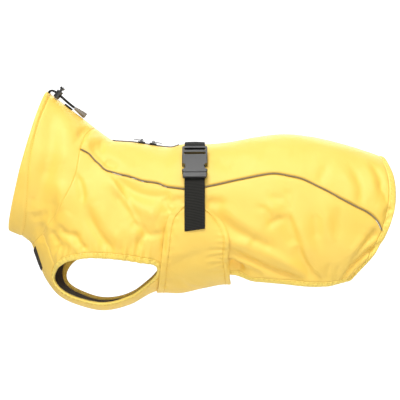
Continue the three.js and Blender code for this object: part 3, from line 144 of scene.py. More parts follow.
# Folds in the side view: x0, z0, x1, z1, bow, left and right widths, growth, height, far side's share
FOLDS = [
    (-178, 40, -180, -32, 2.5, 11.2, 11.2, 1, -2.2, 0.8), (-160, 27, -163, -27, 0, 13.7, 13.7, 1.1, 1.8, 0.8),
    (-181, -22, -191, -88, -2.5, 11.4, 9.1, 1.3, -3.4, 0.8), (-166, -46, -164, -85, 2.5, 8.6, 9.9, 1, 2, 0.8),
    (-206, -92, -181, -88, 0, 5, 6.2, 1, -1.6, 0.6), (-193, -98, -191, -125, 0, 6.2, 6.2, 1, -2.2, 0.7),
    (-182, -98, -176, -120, 0, 6.2, 6.2, 1, 1.4, 0.7), (-202, -65, -205, -85, 0, 5, 5, 1, -1.2, 0.5),
    (-172, -70, -179, -105, 0, 6.2, 6.2, 1, -1.4, 0.6), (-145, 6, -125, 22, 3.8, 5, 7.5, 1, -2.6, 0.8),
    (-137, -3, -118, 9, 2.5, 7.5, 7.5, 1, 1.6, 0.8), (-125, 4, -109, -32, -3.7, 7.4, 6.2, 1, -2.8, 0.8),
    (-116, 8, -116, -10, 0, 3, 3, 1, -1.8, 0.7), (-112, -21, -96, -31, 0, 6.2, 6.2, 1, -2.2, 0.8),
    (-120, -8, -113, -28, -2.5, 5, 5, 1, 1.2, 0.8), (-147, -38, -137, -73, 3.7, 3.9, 6.1, 1, -2.1, 0.6),
    (-136, -46, -126, -75, 2.5, 7.4, 7.4, 1, 1.3, 0.7), (-106, -41, -66, -109, 2.4, 3.7, 8.5, 1.1, 3.2, 0.9),
    (-100, -61, -72, -100, 2.4, 7.3, 6.1, 1, -3.6, 0.8), (-96, -44, -35, -66, -7.3, 6.1, 9.8, 1, -3.4, 1),
    (-35, -66, -29, -87, -3.7, 6.1, 7.3, 1, -2.6, 0.9), (-81, -70, -42, -87, -3.7, 9.8, 9.8, 1, 2.8, 0.9),
    (-55, -85, -38, -114, 0, 7.3, 7.3, 1, 1.4, 0.8), (-131, -83, -100, -132, -3.7, 4.9, 6.1, 1.1, -3, 0.8),
    (-118, -80, -86, -127, -3.7, 7.3, 7.3, 1, 1.8, 0.8), (-77, -97, -58, -109, 0, 4.9, 6.1, 1, -2.4, 0.8),
    (-69, -128, -56, -108, 2.4, 4.3, 4.9, 1, -2.4, 0.8), (-94, -105, -72, -119, 0, 9.8, 9.8, 1, 1.4, 0.8),
    (-58, -114, -39, -110, 0, 3.7, 4.9, 1, -1.8, 0.8), (-36, -102, -38, -136, 0, 2.7, 4.9, 1, -2, 0.8),
    (-166, -106, -144, -114, -2.5, 4.3, 5.6, 1, -2.4, 0.8),
    (-146, -112, -132, -131, -2.5, 4.3, 4.9, 1, -2.6, 0.8),
    (-158, -117, -141, -132, 0, 4.9, 4.9, 1, 1.8, 0.8), (-178, -109, -167, -125, 0, 4.3, 5, 1, -2.4, 0.8),
    (-172, -132, -162, -125, 0, 3.7, 3.7, 1, -1.4, 0.8), (-154, -85, -166, -102, 2.5, 7.4, 7.4, 1, 1.4, 0.8),
    (-30, -78, -16, -68, 2.4, 4.3, 6.1, 1, -2, 0.8), (14, -72, 36, -74, 0, 6.1, 7.3, 1, -3, 0.8),
    (21, -79, 67, -119, -4.9, 8.5, 8.5, 1.1, -3.6, 0.8), (67, -119, 92, -131, 0, 7.3, 9.7, 1, -2.6, 0.8),
    (40, -85, 82, -114, 0, 7.3, 7.3, 1, 1.6, 0.8), (41, -116, 131, -158, 3.7, 6.1, 8.5, 0.8, 3, 1),
    (40, -131, 131, -168, -2.4, 4.3, 6.1, 0.7, -4.6, 1), (46, -141, 82, -156, 0, 3.7, 4.9, 1, 1.6, 0.9),
    (42, -147, 60, -158, 0, 5.1, 6.4, 1, -7.5, 0.9), (63, -152, 83, -163, 0, 3.7, 4.9, 1, -2, 0.8),
    (113, -87, 126, -124, 0, 2.9, 12.2, 1.3, -3.2, 0.9),
    (126, -124, 156, -169, -4.9, 3.2, 11, 0.7, -3.4, 0.9),
    (123, -97, 143, -138, 0, 7.3, 8.5, 1, 1.7, 0.9), (89, -102, 107, -91, 1.2, 3.4, 4.9, 1, -2.4, 0.7),
    (77, -78, 92, -97, 4.9, 3.6, 6.1, 1, -1.6, 0.7), (92, -66, 106, -70, 0, 4.9, 4.9, 1, -1.5, 0.7),
    (82, -85, 99, -80, 0, 7.3, 7.3, 1, 1.2, 0.7), (115, -56, 116, -85, 0, 3.2, 8.5, 1, -1.4, 0.8),
    (145, -87, 149, -119, 0, 7.3, 7.3, 1, -2, 0.8), (160, -83, 164, -124, 0, 8.5, 8.5, 1, 1.2, 0.8),
    (151, -51, 164, -26, 0, 6.1, 6.1, 1, -1.1, 0.7), (177, -78, 172, -119, 0, 8.5, 9.8, 1, -1.2, 0.7),
    (182, -70, 165, -53, 0, 7.3, 7.3, 1, -0.8, 0.7), (51, -11, 83, -21, 0, 11.1, 11.1, 1, 0.9, 0.8),
    (26, -21, 46, -29, 0, 7.4, 7.4, 1, -0.9, 0.8), (117, -9, 150, -19, 0, 11.1, 11.1, 1, -0.8, 0.8),
    (-90, -9, -68, -28, 0, 8.6, 8.6, 1, -1, 0.8), (-55, -16, -28, -36, 0, 9.8, 9.8, 1, 0.9, 0.8),
    (195, -31, 204, -73, 3.7, 4.9, 6.1, 1, -1.6, 0.9), (183, -36, 193, -75, 3.7, 7.4, 7.4, 1, 1, 0.9),
    (211, -26, 220, -68, 2.5, 6.2, 6.2, 1, 1.1, 0.9), (221, -28, 231, -56, 2.5, 4.3, 5, 1, -1.8, 0.9),
    (227, -51, 238, -73, 1.2, 3.7, 5, 1, -2.4, 0.9), (231, -89, 242, -79, 0, 3.2, 4, 1, -2.8, 0.9),
    (231, -99, 241, -90, 0, 3.2, 3.7, 1, -2.4, 0.9), (221, -78, 234, -85, 0, 4.9, 4.9, 1, 1, 0.9),
    (230, -102, 192, -151, -3.7, 8.6, 4.9, 0.8, -3.6, 0.9),
    (227, -124, 181, -168, -2.5, 3, 2.7, 0.9, -3.6, 0.9),
    (221, -120, 194, -147, -2.5, 3.2, 3.2, 1, 2.2, 0.9), (220, -135, 186, -167, -3.7, 3, 3.7, 1, 1.8, 0.9),
    (211, -115, 191, -137, 0, 7.4, 6.1, 1, 1.6, 0.9), (166, -147, 161, -171, 0, 4.9, 4.9, 1, -1.3, 0.8),
    (176, -152, 172, -171, 0, 4.3, 4.3, 1, -1.3, 0.8), (144, -154, 149, -172, 0, 4.3, 4.9, 1, 1.2, 0.8),
    (-30, -153, 11, -136, 2.4, 6.1, 11, 1, -1.2, 0.8), (-25, -114, -11, -104, 0, 8.5, 8.5, 1, 0.9, 0.8),
    (15, -131, 33, -129, 0, 2.2, 2.7, 1, -1, 0.8), (16, -140, 33, -138, 0, 2.2, 2.7, 1, -1, 0.8),
    (16, -149, 33, -146, 0, 2.2, 2.7, 1, -1, 0.8), (17, -157, 33, -155, 0, 2.2, 2.7, 1, -0.9, 0.8),
    (-40, -177, -28, -186, 0, 3.1, 3.7, 1, 1.5, 0.8), (-10, -170, 18, -179, 0, 3.7, 3.7, 1, 1.3, 0.8),
    (-23, -167, 6, -182, 0, 5, 5, 1, -1, 0.8),
]
FAR_FOLD_SHIFT = 5
FOLD_SCALE = 1.35

# Gathers above the armhole: x, height, reach
GATHERS = [
    (-168, 2.4, 14), (-160, 1.7, 10), (-152, 2.2, 13), (-142, 1.5, 18), (-132, 1.9, 12), (-121, 1.3, 16),
    (-110, 2.0, 14), (-98, 1.4, 19), (-86, 2.3, 15), (-76, 2.0, 20), (-66, 2.2, 13), (-57, 1.6, 12),
]
GATHER_WIDTH = 2.9
GATHER_TOP_Z = -140

# Sewn lines
CASING_STITCH = [(-187, 50), (-195, 22), (-203, -16), (-208, -62), (-213, -100)]
STITCH_LENGTH = 2.6
STITCH_STEP = 3.3
STITCH_RADIUS = 0.24


def smooth(knots, values, at):
    """Smooth interpolation through rows of numbers at uneven places."""
    knots = np.asarray(knots, float)
    values = np.asarray(values, float)
    at = np.asarray(at, float)
    end = len(knots) - 1
    i = np.clip(np.searchsorted(knots[1:-1], at, side="left"), 0, end - 1)
    spans = np.diff(knots)
    shape = (-1,) + (1,) * (values.ndim - 1)
    step = np.diff(values, axis=0) / spans.reshape(shape)
    slope = np.concatenate([step[:1], (step[:-1] + step[1:]) / 2, step[-1:]])
    span = spans[i]
    t = (at - knots[i]) / span
    if values.ndim > 1:
        span = span[..., None]
        t = t[..., None]
    held = np.clip(t, 0, 1)
    rise = values[i + 1] - values[i]
    bend0 = slope[i] * span - rise
    bend1 = rise - slope[i + 1] * span
    inside = values[i] + rise * held + held * (1 - held) * (bend0 * (1 - held) + bend1 * held)
    return inside + slope[0] * np.minimum(t, 0) * span + slope[end] * np.maximum(t - 1, 0) * span


STATION_KNOTS = np.arange(LAST + 1)
STATION_VALUES = np.array([row[1:] for row in STATIONS], float)


def base_point(u, angle):
    """A point of the smooth filled surface; angle runs from the spine (0) down the left side."""
    u, angle = np.broadcast_arrays(np.asarray(u, float), np.asarray(angle, float))
    row = np.moveaxis(smooth(STATION_KNOTS, STATION_VALUES, u), -1, 0)
    top_x, top_z, low_x, low_z, bow, half, square, narrow = row
    turn = np.radians(angle)
    c = np.cos(turn)
    s = np.sin(turn)
    power = np.where(c >= 0, 1, 2 / square)
    drop = (1 - np.sign(c) * np.abs(c) ** power) / 2
    narrowing = np.where(c < 0, 1 - narrow * c * c, 1)
    return np.stack([
        top_x + (low_x - top_x) * drop + bow * 4 * drop * (1 - drop),
        -half * np.sign(s) * np.abs(s) ** power * narrowing,
        top_z + (low_z - top_z) * drop,
    ], axis=-1)


def slopes(u, angle):
    along_u = (base_point(u + 0.05, angle) - base_point(u - 0.05, angle)) / 0.1
    along_angle = (base_point(u, angle + 1) - base_point(u, angle - 1)) / 2
    return along_u, along_angle


def length(v):
    return np.linalg.norm(v, axis=-1)


def unit(v):
    return v / np.maximum(length(v), 1e-9)[..., None]


def outward(u, angle):
    along_u, along_angle = slopes(u, angle)
    return unit(np.cross(along_angle, along_u))


def fade(distance, width):
    return np.exp(-((distance / width) ** 2))


def rise_between(value, low, high):
    t = np.clip((value - low) / (high - low), 0, 1)
    return t * t * (3 - 2 * t)


def line_distance(x, z, points):
    """Nearest distance to a broken line in the side view."""
    best = np.full(np.shape(x), 1e9)
    for (x0, z0), (x1, z1) in zip(points[:-1], points[1:]):
        dx, dz = x1 - x0, z1 - z0
        t = np.clip(((x - x0) * dx + (z - z0) * dz) / (dx * dx + dz * dz), 0, 1)
        best = np.minimum(best, np.hypot(x - x0 - t * dx, z - z0 - t * dz))
    return best


RIPPLES = [
    (random.uniform(0, 2 * math.pi), random.uniform(0, 2 * math.pi), random.uniform(26, 70),
     random.uniform(0.1, 0.26))
    for _ in range(9)
]


def relief(point):
    """How far the folds and gathers move the cloth out or in; the piping holds them down."""
    x, y, z = point[..., 0], point[..., 1], point[..., 2]
    far = y > 0
    height = np.zeros(np.shape(x))
    shift = np.where(far, FAR_FOLD_SHIFT, 0)
    for x0, z0, x1, z1, bow, left, right, grow, rise, share in FOLDS:
        dx, dz = x1 - x0, z1 - z0
        span = math.hypot(dx, dz)
        t = np.clip(((x - shift - x0) * dx + (z - z0) * dz) / span ** 2, 0, 1)
        bowed = bow * 4 * t * (1 - t)
        ex = x - shift - x0 - t * dx + bowed * dz / span
        ez = z - z0 - t * dz - bowed * dx / span
        to_left = 0.5 + 0.5 * np.tanh((ez * dx - ex * dz) / span / 1.1)
        width = (right + (left - right) * to_left) * (1 + (grow - 1) * t)
        taper = 0.35 + 0.65 * np.minimum(1, 6 * t * (1 - t))
        height += FOLD_SCALE * taper * rise * np.where(far, share, 1) * fade(np.hypot(ex, ez), width)
    for gx, rise, reach in GATHERS:
        above = np.maximum(0, z - GATHER_TOP_Z) / reach
        below = np.maximum(0, GATHER_TOP_Z - 8 - z) / 8
        lean = (z - GATHER_TOP_Z) * 0.15
        height += rise * fade(x - gx - lean, GATHER_WIDTH) * fade(above, 1) * fade(below, 1)
    for turn, phase, wave, rise in RIPPLES:
        across = x * math.cos(turn) + z * math.sin(turn)
        height += rise * np.sin(2 * math.pi * across / wave + phase + 0.02 * y)
    height *= rise_between(np.abs(y), 12, 34)
    return height * (0.3 + 0.7 * rise_between(line_distance(x, z, PIPING_LINE), 1, 8))


def cloth_point(u, angle, lift):
    return base_point(u, angle) + outward(u, angle) * np.asarray(lift)[..., None]


def folded_point(u, angle, lift):
    return cloth_point(u, angle, lift + relief(base_point(u, angle)))


def locate(x, z):
    """The place on the left half that shows at (x, z) in the side view."""
    grid_u, grid_angle = np.meshgrid(np.arange(0, LAST + 0.1, 0.5), np.arange(4, 177, 4), indexing="ij")
    p = base_point(grid_u, grid_angle)
    k = np.argmin(np.hypot(p[..., 0] - x, p[..., 2] - z))
    u, angle = grid_u.flat[k], grid_angle.flat[k]
    for _ in range(20):
        p = base_point(u, angle)
        along_u, along_angle = slopes(u, angle)
        det = along_u[0] * along_angle[2] - along_u[2] * along_angle[0]
        ex, ez = x - p[0], z - p[2]
        u = u + np.clip((ex * along_angle[2] - ez * along_angle[0]) / det, -0.5, 0.5)
        angle = angle + np.clip((along_u[0] * ez - along_u[2] * ex) / det, -6, 6)
    return float(u), float(angle)


def sideways(u, angle, ahead_u, ahead_angle, distance):
    """A place moved over the surface, square to the way it is going."""
    way = base_point(ahead_u, ahead_angle) - base_point(u, angle)
    side = unit(np.cross(outward(u, angle), way)) * np.asarray(distance)[..., None]
    along_u, along_angle = slopes(u, angle)
    uu = (along_u * along_u).sum(-1)
    ua = (along_u * along_angle).sum(-1)
    aa = (along_angle * along_angle).sum(-1)
    su = (side * along_u).sum(-1)
    sa = (side * along_angle).sum(-1)
    det = uu * aa - ua * ua
    return u + (su * aa - sa * ua) / det, angle + (uu * sa - ua * su) / det


def stations_for(u, angle, distance):
    return distance / length(slopes(u, angle)[0])


def degrees_for(u, angle, distance):
    return distance / length(slopes(u, angle)[1])


def angle_line(rows):
    places = np.array([locate(x, z) for x, z in rows])
    return lambda u: smooth(places[:, 0], places[:, 1], u), places[0, 0]


piping_angle, PIPING_START = angle_line(PIPING_LINE)
hem_angle = angle_line(HEM_LINE)[0]
seam_places = [locate(x, z) for x, z in COLLAR_SEAM]
casing_places = [locate(x, z) for x, z in CASING_STITCH]


def collar_seam(angle):
    knots = [0] + [place[1] for place in seam_places] + [180]
    values = [3.02] + [place[0] for place in seam_places] + [4]
    return smooth(knots, values, np.abs(angle))


def casing_station(angle):
    knots = [0] + [place[1] for place in casing_places] + [180]
    values = [casing_places[0][0]] + [place[0] for place in casing_places] + [casing_places[-1][0]]
    return smooth(knots, values, np.abs(angle))


def armhole_loop(side):
    places = np.array([locate(near if side > 0 else far, z) for near, z, far in ARMHOLE_EDGE])
    count = len(places)
    order = np.arange(-3, count + 4)
    values = places[order % count]

    def loop(at):
        place = smooth(order, values, np.mod(at, count))
        return place[..., 0], place[..., 1]
    return loop


LOOPS = {1: armhole_loop(1), -1: armhole_loop(-1)}
ARMHOLE_ROWS = len(ARMHOLE_EDGE)


def armhole_outer(loop, at, extra):
    at = np.asarray(at, float)
    strap = rise_between(np.mod(at, ARMHOLE_ROWS), 7.5, 9.5)
    strap = strap * (1 - rise_between(np.mod(at, ARMHOLE_ROWS), ARMHOLE_ROWS - 2.5, ARMHOLE_ROWS - 0.5))
    width = BINDING_WIDTH + (BINDING_STRAP_WIDTH - BINDING_WIDTH) * strap
    u, angle = loop(at)
    ahead_u, ahead_angle = loop(at + 0.2)
    return sideways(u, angle, ahead_u, ahead_angle, width + extra)


REAR_END = LAST - float(stations_for(LAST, 90.0, HEM_WIDTH + REAR_GAP))
HEM_INSET = float(stations_for(LAST, 90.0, HEM_WIDTH))
CHEST_END = 7
ARMHOLE_END = 12
HEM_START = 15
HEM_HIDDEN_START = 14.85
ARMHOLE_FRONT = -0.8
ARMHOLE_REAR = 7.6
CHEST_FRONT = 4
CHEST_REAR = 12.45
CHEST_CORNER = 6
STRAP_REAR = ARMHOLE_REAR + 0.3 - ARMHOLE_ROWS


def beside_piping(distance):
    u = np.linspace(PIPING_START - 0.4, LAST + 0.4, 191)
    side_u, side_angle = sideways(u, piping_angle(u), u + 0.1, piping_angle(u + 0.1), np.full(191, distance))
    return lambda at: smooth(side_u, side_angle, at)


def hem_inner(u, distance):
    angle = hem_angle(u)
    return angle - degrees_for(u, angle, distance)


def chest_seam_places(loop, extra):
    corner = armhole_outer(loop, ARMHOLE_FRONT, extra)
    return np.array([locate(x, z) for x, z in CHEST_SEAM] + [[float(corner[0]), float(corner[1])]])


def through(places, t):
    """Along a bent line of three places, half of the way on each part."""
    t = np.asarray(t)[..., None]
    first = places[0] + (places[1] - places[0]) * np.clip(t * 2, 0, 1)
    return np.where(t < 0.5, first, places[1] + (places[2] - places[1]) * np.clip(t * 2 - 1, 0, 1))


def side_lower(loop, s, front):
    places = chest_seam_places(loop, SEAM_GAP)
    shift = degrees_for(places[1, 0], places[1, 1], SEAM_GAP / 2)
    chest = through(places, (s - front) / (CHEST_END - front))
    hole_at = ARMHOLE_FRONT + (ARMHOLE_REAR - ARMHOLE_FRONT) * (s - CHEST_END) / (ARMHOLE_END - CHEST_END)
    hole_u, hole_angle = armhole_outer(loop, np.clip(hole_at, ARMHOLE_FRONT, ARMHOLE_REAR), SEAM_GAP)
    beside = HEM_WIDTH + SEAM_GAP + 0.1
    t = np.clip((s - ARMHOLE_END) / (HEM_START - ARMHOLE_END), 0, 1)
    end_u, end_angle = armhole_outer(loop, ARMHOLE_REAR, SEAM_GAP)
    flap_u = end_u + (HEM_START - end_u) * t
    flap_angle = end_angle + (hem_inner(HEM_START, beside) - end_angle) * t
    hem_at = hem_inner(np.maximum(s, HEM_START), beside)
    u = np.select([s < CHEST_END, s <= ARMHOLE_END, s < HEM_START], [chest[..., 0], hole_u, flap_u], s)
    angle = np.select([s < CHEST_END, s <= ARMHOLE_END, s < HEM_START],
                      [chest[..., 1] - shift, hole_angle, flap_angle], hem_at)
    return u, angle


def with_collar_edge(u, front_u, front_angle, s, front, reach):
    gap = float(stations_for(4.0, 90.0, SEAM_GAP))
    left = 1 - rise_between(s, front, front + reach)
    return u + (collar_seam(front_angle) + gap - front_u) * left


# Meshes from grids of places
def grid_lengths(points):
    steps_down = length(np.diff(points, axis=0)).mean(axis=1)
    down = np.concatenate([[0], np.cumsum(steps_down)])
    steps_across = length(np.diff(points, axis=1)).mean(axis=0)
    across = np.concatenate([[0], np.cumsum(steps_across)])
    return down, across


def shell(name, outer, inner, materials, closed=False, keep=None):
    """A closed thin wall between two grids of points; the inner face takes the last material."""
    rows, cols = outer.shape[0], outer.shape[1]
    cells = cols if closed else cols - 1
    verts = np.concatenate([outer.reshape(-1, 3), inner.reshape(-1, 3)]) * MM
    i, j = np.meshgrid(np.arange(rows - 1), np.arange(cells), indexing="ij")
    kept = np.ones((rows - 1, cells), bool) if keep is None else keep
    a = i * cols + j
    b = (i + 1) * cols + j
    c = (i + 1) * cols + (j + 1) % cols
    d = i * cols + (j + 1) % cols
    n = rows * cols
    faces = [np.stack([a, b, c, d], -1)[kept]]
    faces.append(np.stack([a + n, d + n, c + n, b + n], -1)[kept])
    inner_count = len(faces[1])
    padded = np.zeros((rows + 1, cells + 2), bool)
    padded[1:-1, 1:-1] = kept
    if closed:
        padded[1:-1, 0] = kept[:, -1]
        padded[1:-1, -1] = kept[:, 0]
    open_before = kept & ~padded[:-2, 1:-1]
    open_after = kept & ~padded[2:, 1:-1]
    open_left = kept & ~padded[1:-1, :-2]
    open_right = kept & ~padded[1:-1, 2:]
    faces.append(np.stack([a, d, d + n, a + n], -1)[open_before])
    faces.append(np.stack([c, b, b + n, c + n], -1)[open_after])
    faces.append(np.stack([b, a, a + n, b + n], -1)[open_left])
    faces.append(np.stack([d, c, c + n, d + n], -1)[open_right])
    quads = np.concatenate(faces)
    down, across = grid_lengths(outer)
    uv_rows, uv_cols = np.meshgrid(down, across, indexing="ij")
    uv = np.stack([uv_cols.ravel(), uv_rows.ravel()], -1) * MM
    uv = np.concatenate([uv, uv])
    obj = mesh_object(name, verts, quads, materials, uv)
    if len(materials) > 1:
        slots = np.zeros(len(quads), int)
        slots[inner_count:2 * inner_count] = len(materials) - 1
        obj.data.polygons.foreach_set("material_index", slots)
    return obj


def mesh_object(name, verts, faces, materials, uv=None, smooth_shading=True):
    mesh = bpy.data.meshes.new(name)
    mesh.from_pydata(verts.tolist(), [], [list(map(int, f)) for f in faces])
    for item in materials:
        mesh.materials.append(item)
    mesh.polygons.foreach_set("use_smooth", [smooth_shading] * len(mesh.polygons))
    if uv is not None:
        layer = mesh.uv_layers.new(name="UVMap")
        loops = np.zeros(len(mesh.loops), int)
        mesh.loops.foreach_get("vertex_index", loops)
        layer.data.foreach_set("uv", uv[loops].ravel())
    mesh.validate()
    mesh.update()
    obj = bpy.data.objects.new(name, mesh)
    bpy.context.collection.objects.link(obj)
    return obj


def stretch(from_value, to_value, count):
    return np.linspace(from_value, to_value, count + 1)


def edge_roll(points, top, bottom, left, right, depth=0.45, width=1.1):
    """How far a panel turns in at those of its edges that are sewn or folded."""
    down, across = grid_lengths(points)
    drop = np.zeros(points.shape[:2])
    if top:
        drop = np.maximum(drop, fade(down, width)[:, None] * top)
    if bottom:
        drop = np.maximum(drop, fade(down[-1] - down, width)[:, None] * bottom)
    if left:
        drop = np.maximum(drop, fade(across, width)[None, :] * left)
    if right:
        drop = np.maximum(drop, fade(across[-1] - across, width)[None, :] * right)
    return -depth * drop


def panel(name, u, angle, outer, wall, materials, roll=(1, 1, 1, 1), folded=True, closed=False, keep=None):
    point = folded_point if folded else cloth_point
    outer = outer + edge_roll(base_point(u, angle), *roll) if roll else outer + np.zeros(u.shape)
    return shell(name, point(u, angle, outer), point(u, angle, outer - wall), materials, closed, keep)


def tube(name, path, radius, sides, materials):
    """A round tube on a path in millimetres, with closed ends."""
    path = np.asarray(path, float)
    way = unit(np.gradient(path, axis=0))
    up = np.array([0.2, 0.1, 1.0])
    side = unit(np.cross(way, up))
    across = np.cross(side, way)
    turn = np.arange(sides) / sides * 2 * math.pi
    radius = np.broadcast_to(np.asarray(radius, float), (len(path),))
    ring = side[:, None] * np.cos(turn)[None, :, None] + across[:, None] * np.sin(turn)[None, :, None]
    points = path[:, None] + ring * radius[:, None, None]
    verts = points.reshape(-1, 3) * MM
    faces = []
    for i in range(len(path) - 1):
        for k in range(sides):
            a = i * sides + k
            b = i * sides + (k + 1) % sides
            faces.append((a, a + sides, b + sides, b))
    faces.append(tuple(range(sides)))
    last = (len(path) - 1) * sides
    faces.append(tuple(last + k for k in reversed(range(sides))))
    run = np.concatenate([[0], np.cumsum(length(np.diff(path, axis=0)))])
    uv = np.stack([np.tile(turn / (2 * math.pi), len(path)), np.repeat(run, sides) * MM * 100], -1)
    return mesh_object(name, verts, faces, materials, uv)


# Materials
def material(name, color, roughness, **numbers):
    made = bpy.data.materials.new(name)
    made.use_nodes = True
    shader = made.node_tree.nodes["Principled BSDF"]
    shader.inputs["Base Color"].default_value = (*color, 1)
    shader.inputs["Roughness"].default_value = roughness
    for key, value in numbers.items():
        shader.inputs[key.replace("_", " ")].default_value = value
    return made


def add_node(made, kind, **inputs):
    node = made.node_tree.nodes.new(kind)
    for key, value in inputs.items():
        node.inputs[key.replace("_", " ")].default_value = value
    return node


def wire(made, source, output, target, name):
    made.node_tree.links.new(source.outputs[output], target.inputs[name])


def place_node(made, kind="Object", scale=(1, 1, 1)):
    coords = add_node(made, "ShaderNodeTexCoord")
    mapping = add_node(made, "ShaderNodeMapping", Scale=scale)
    wire(made, coords, kind, mapping, "Vector")
    return mapping


def noise_node(made, place, scale, detail=2.0):
    noise = add_node(made, "ShaderNodeTexNoise", Scale=scale, Detail=detail)
    wire(made, place, "Vector", noise, "Vector")
    return noise


def two_colors(made, noise, first, second, low=0.35, high=0.65):
    ramp = add_node(made, "ShaderNodeValToRGB")
    ramp.color_ramp.elements[0].color = (*first, 1)
    ramp.color_ramp.elements[1].color = (*second, 1)
    ramp.color_ramp.elements[0].position = low
    ramp.color_ramp.elements[1].position = high
    made.node_tree.links.new(noise.outputs[0], ramp.inputs["Fac"])
    shader = made.node_tree.nodes["Principled BSDF"]
    wire(made, ramp, "Color", shader, "Base Color")
    return ramp


def bump_chain(made, heights):
    """Bumps one after another: (node, output, distance in metres, strength)."""
    last = None
    for source, output, distance, strength in heights:
        bump = add_node(made, "ShaderNodeBump", Distance=distance, Strength=strength)
        wire(made, source, output, bump, "Height")
        if last:
            wire(made, last, "Normal", bump, "Normal")
        last = bump
    wire(made, last, "Normal", made.node_tree.nodes["Principled BSDF"], "Normal")


def cloth_material(name, light, deep, roughness=0.6, gloss=0.9):
    made = material(name, light, roughness, IOR=1.6, Specular_IOR_Level=gloss, Sheen_Weight=0.1,
                    Sheen_Roughness=0.5)
    place = place_node(made)
    two_colors(made, noise_node(made, place, 26, 3), deep, light, 0.3, 0.62)
    weave_place = place_node(made, "UV")
    wave = add_node(made, "ShaderNodeTexWave", Scale=700, Distortion=1.5, Detail=1)
    wire(made, weave_place, "Vector", wave, "Vector")
    bump_chain(made, [
        (noise_node(made, place, 90, 3), 0, 0.0006, 0.5),
        (noise_node(made, place, 420, 2), 0, 0.0002, 0.4),
        (wave, "Fac", 0.00006, 0.5),
    ])
    return made


def ribbed_material(name, dark, light, rib_scale, roughness=0.8, bump=0.0003):
    made = material(name, dark, roughness, Specular_IOR_Level=0.25)
    place = place_node(made, "UV")
    wave = add_node(made, "ShaderNodeTexWave", Scale=rib_scale)
    wave.bands_direction = "Y"
    wire(made, place, "Vector", wave, "Vector")
    fine = noise_node(made, place, 1800, 2)
    two_colors(made, wave, dark, light, 0.2, 0.8)
    bump_chain(made, [(wave, "Fac", bump, 0.8), (fine, 0, 0.0002, 0.6)])
    return made


def mesh_material(name, thread, gap, scale):
    made = material(name, thread, 0.85)
    place = place_node(made, "UV")
    cells = add_node(made, "ShaderNodeTexVoronoi", Scale=scale)
    wire(made, place, "Vector", cells, "Vector")
    two_colors(made, cells, gap, thread, 0.18, 0.42)
    bump_chain(made, [(cells, "Distance", 0.0005, 0.8)])
    return made


def plastic_material(name, color, roughness, scale=900):
    made = material(name, color, roughness, IOR=1.6, Specular_IOR_Level=0.8, Coat_Weight=0.3,
                    Coat_Roughness=0.3)
    place = place_node(made)
    lighter = tuple(c * 1.35 for c in color)
    two_colors(made, noise_node(made, place, 60, 2), color, lighter)
    bump_chain(made, [(noise_node(made, place, scale, 2), 0, 0.00012, 0.5)])
    return made


CLOTH_LIGHT = (1.0, 0.668, 0.084)
CLOTH_DEEP = (1.0, 0.645, 0.066)
cloth = cloth_material("cloth", CLOTH_LIGHT, CLOTH_DEEP)
cloth_back = cloth_material("cloth_back", (0.90, 0.66, 0.15), (0.86, 0.60, 0.12), 0.8, 0.3)
binding = cloth_material("binding", (0.96, 0.72, 0.13), (0.94, 0.67, 0.10), 0.55, 0.6)
lining = mesh_material("lining", (0.06, 0.045, 0.032), (0.015, 0.011, 0.008), 900)
piping_look = ribbed_material("piping", (0.26, 0.18, 0.09), (0.38, 0.29, 0.17), 260, 0.55, 0.0001)
webbing = ribbed_material("webbing", (0.012, 0.012, 0.01), (0.03, 0.029, 0.025), 165, 0.9, 0.0005)
cord_look = ribbed_material("cord", (0.01, 0.01, 0.009), (0.04, 0.04, 0.037), 30, 0.75)
plastic = plastic_material("plastic", (0.012, 0.012, 0.011), 0.3)
cord_end_look = plastic_material("cord_end", (0.13, 0.105, 0.075), 0.4)
zip_look = ribbed_material("zip", (0.05, 0.042, 0.028), (0.09, 0.075, 0.05), 300)
coil_look = ribbed_material("zip_coil", (0.06, 0.05, 0.035), (0.16, 0.13, 0.085), 230, 0.45)
label_look = ribbed_material("label", (0.045, 0.038, 0.03), (0.07, 0.06, 0.05), 400)
# The thread's darker yellow is painted shade of the groove it is sewn into; the thread itself is the cloth's
# yellow.
thread = ribbed_material("thread", (0.78, 0.52, 0.07), (0.88, 0.62, 0.1), 900, 0.6, 0.0001)


def put(obj, slot_name, *nodes, body="coat"):
    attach(obj, body)
    if nodes:
        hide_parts(*nodes)
    return obj


# Drawstring, before the cloth
def round_curve(points, count):
    """Points along a centripetal curve through the given ones."""
    p = np.asarray(points, float)
    p = np.concatenate([2 * p[:1] - p[1:2], p, 2 * p[-1:] - p[-2:-1]])
    knots = np.concatenate([[0], np.cumsum(np.sqrt(length(np.diff(p, axis=0))))])
    out = []
    for k in range(1, len(p) - 2):
        t0, t1, t2, t3 = knots[k - 1:k + 3]
        last = k == len(p) - 3
        for t in np.linspace(t1, t2, count, endpoint=False).tolist() + ([t2] if last else []):
            a1 = (t1 - t) / (t1 - t0) * p[k - 1] + (t - t0) / (t1 - t0) * p[k]
            a2 = (t2 - t) / (t2 - t1) * p[k] + (t - t1) / (t2 - t1) * p[k + 1]
            a3 = (t3 - t) / (t3 - t2) * p[k + 1] + (t - t2) / (t3 - t2) * p[k + 2]
            b1 = (t2 - t) / (t2 - t0) * a1 + (t - t0) / (t2 - t0) * a2
            b2 = (t3 - t) / (t3 - t1) * a2 + (t - t1) / (t3 - t1) * a3
            out.append((t2 - t) / (t2 - t1) * b1 + (t - t1) / (t2 - t1) * b2)
    return np.array(out)


route_points = np.array(CORD_ROUTE)
lock_way = unit(route_points[LOCK_AT + 1] - route_points[LOCK_AT - 1])
lock_up = np.array([0.52, -0.22, 0.82])
lock_up = unit(lock_up - lock_way * (lock_up @ lock_way))
lock_side = np.cross(lock_up, lock_way)

for side, name in ((-1, "drawstring_left"), (1, "drawstring_right")):
    path = round_curve(route_points + lock_side * side * STRAND_APART, 4)
    strand = tube(f"{name}_braid", path, CORD_DIAMETER / 2, 14, [cord_look])
    put(strand, "cord", name)


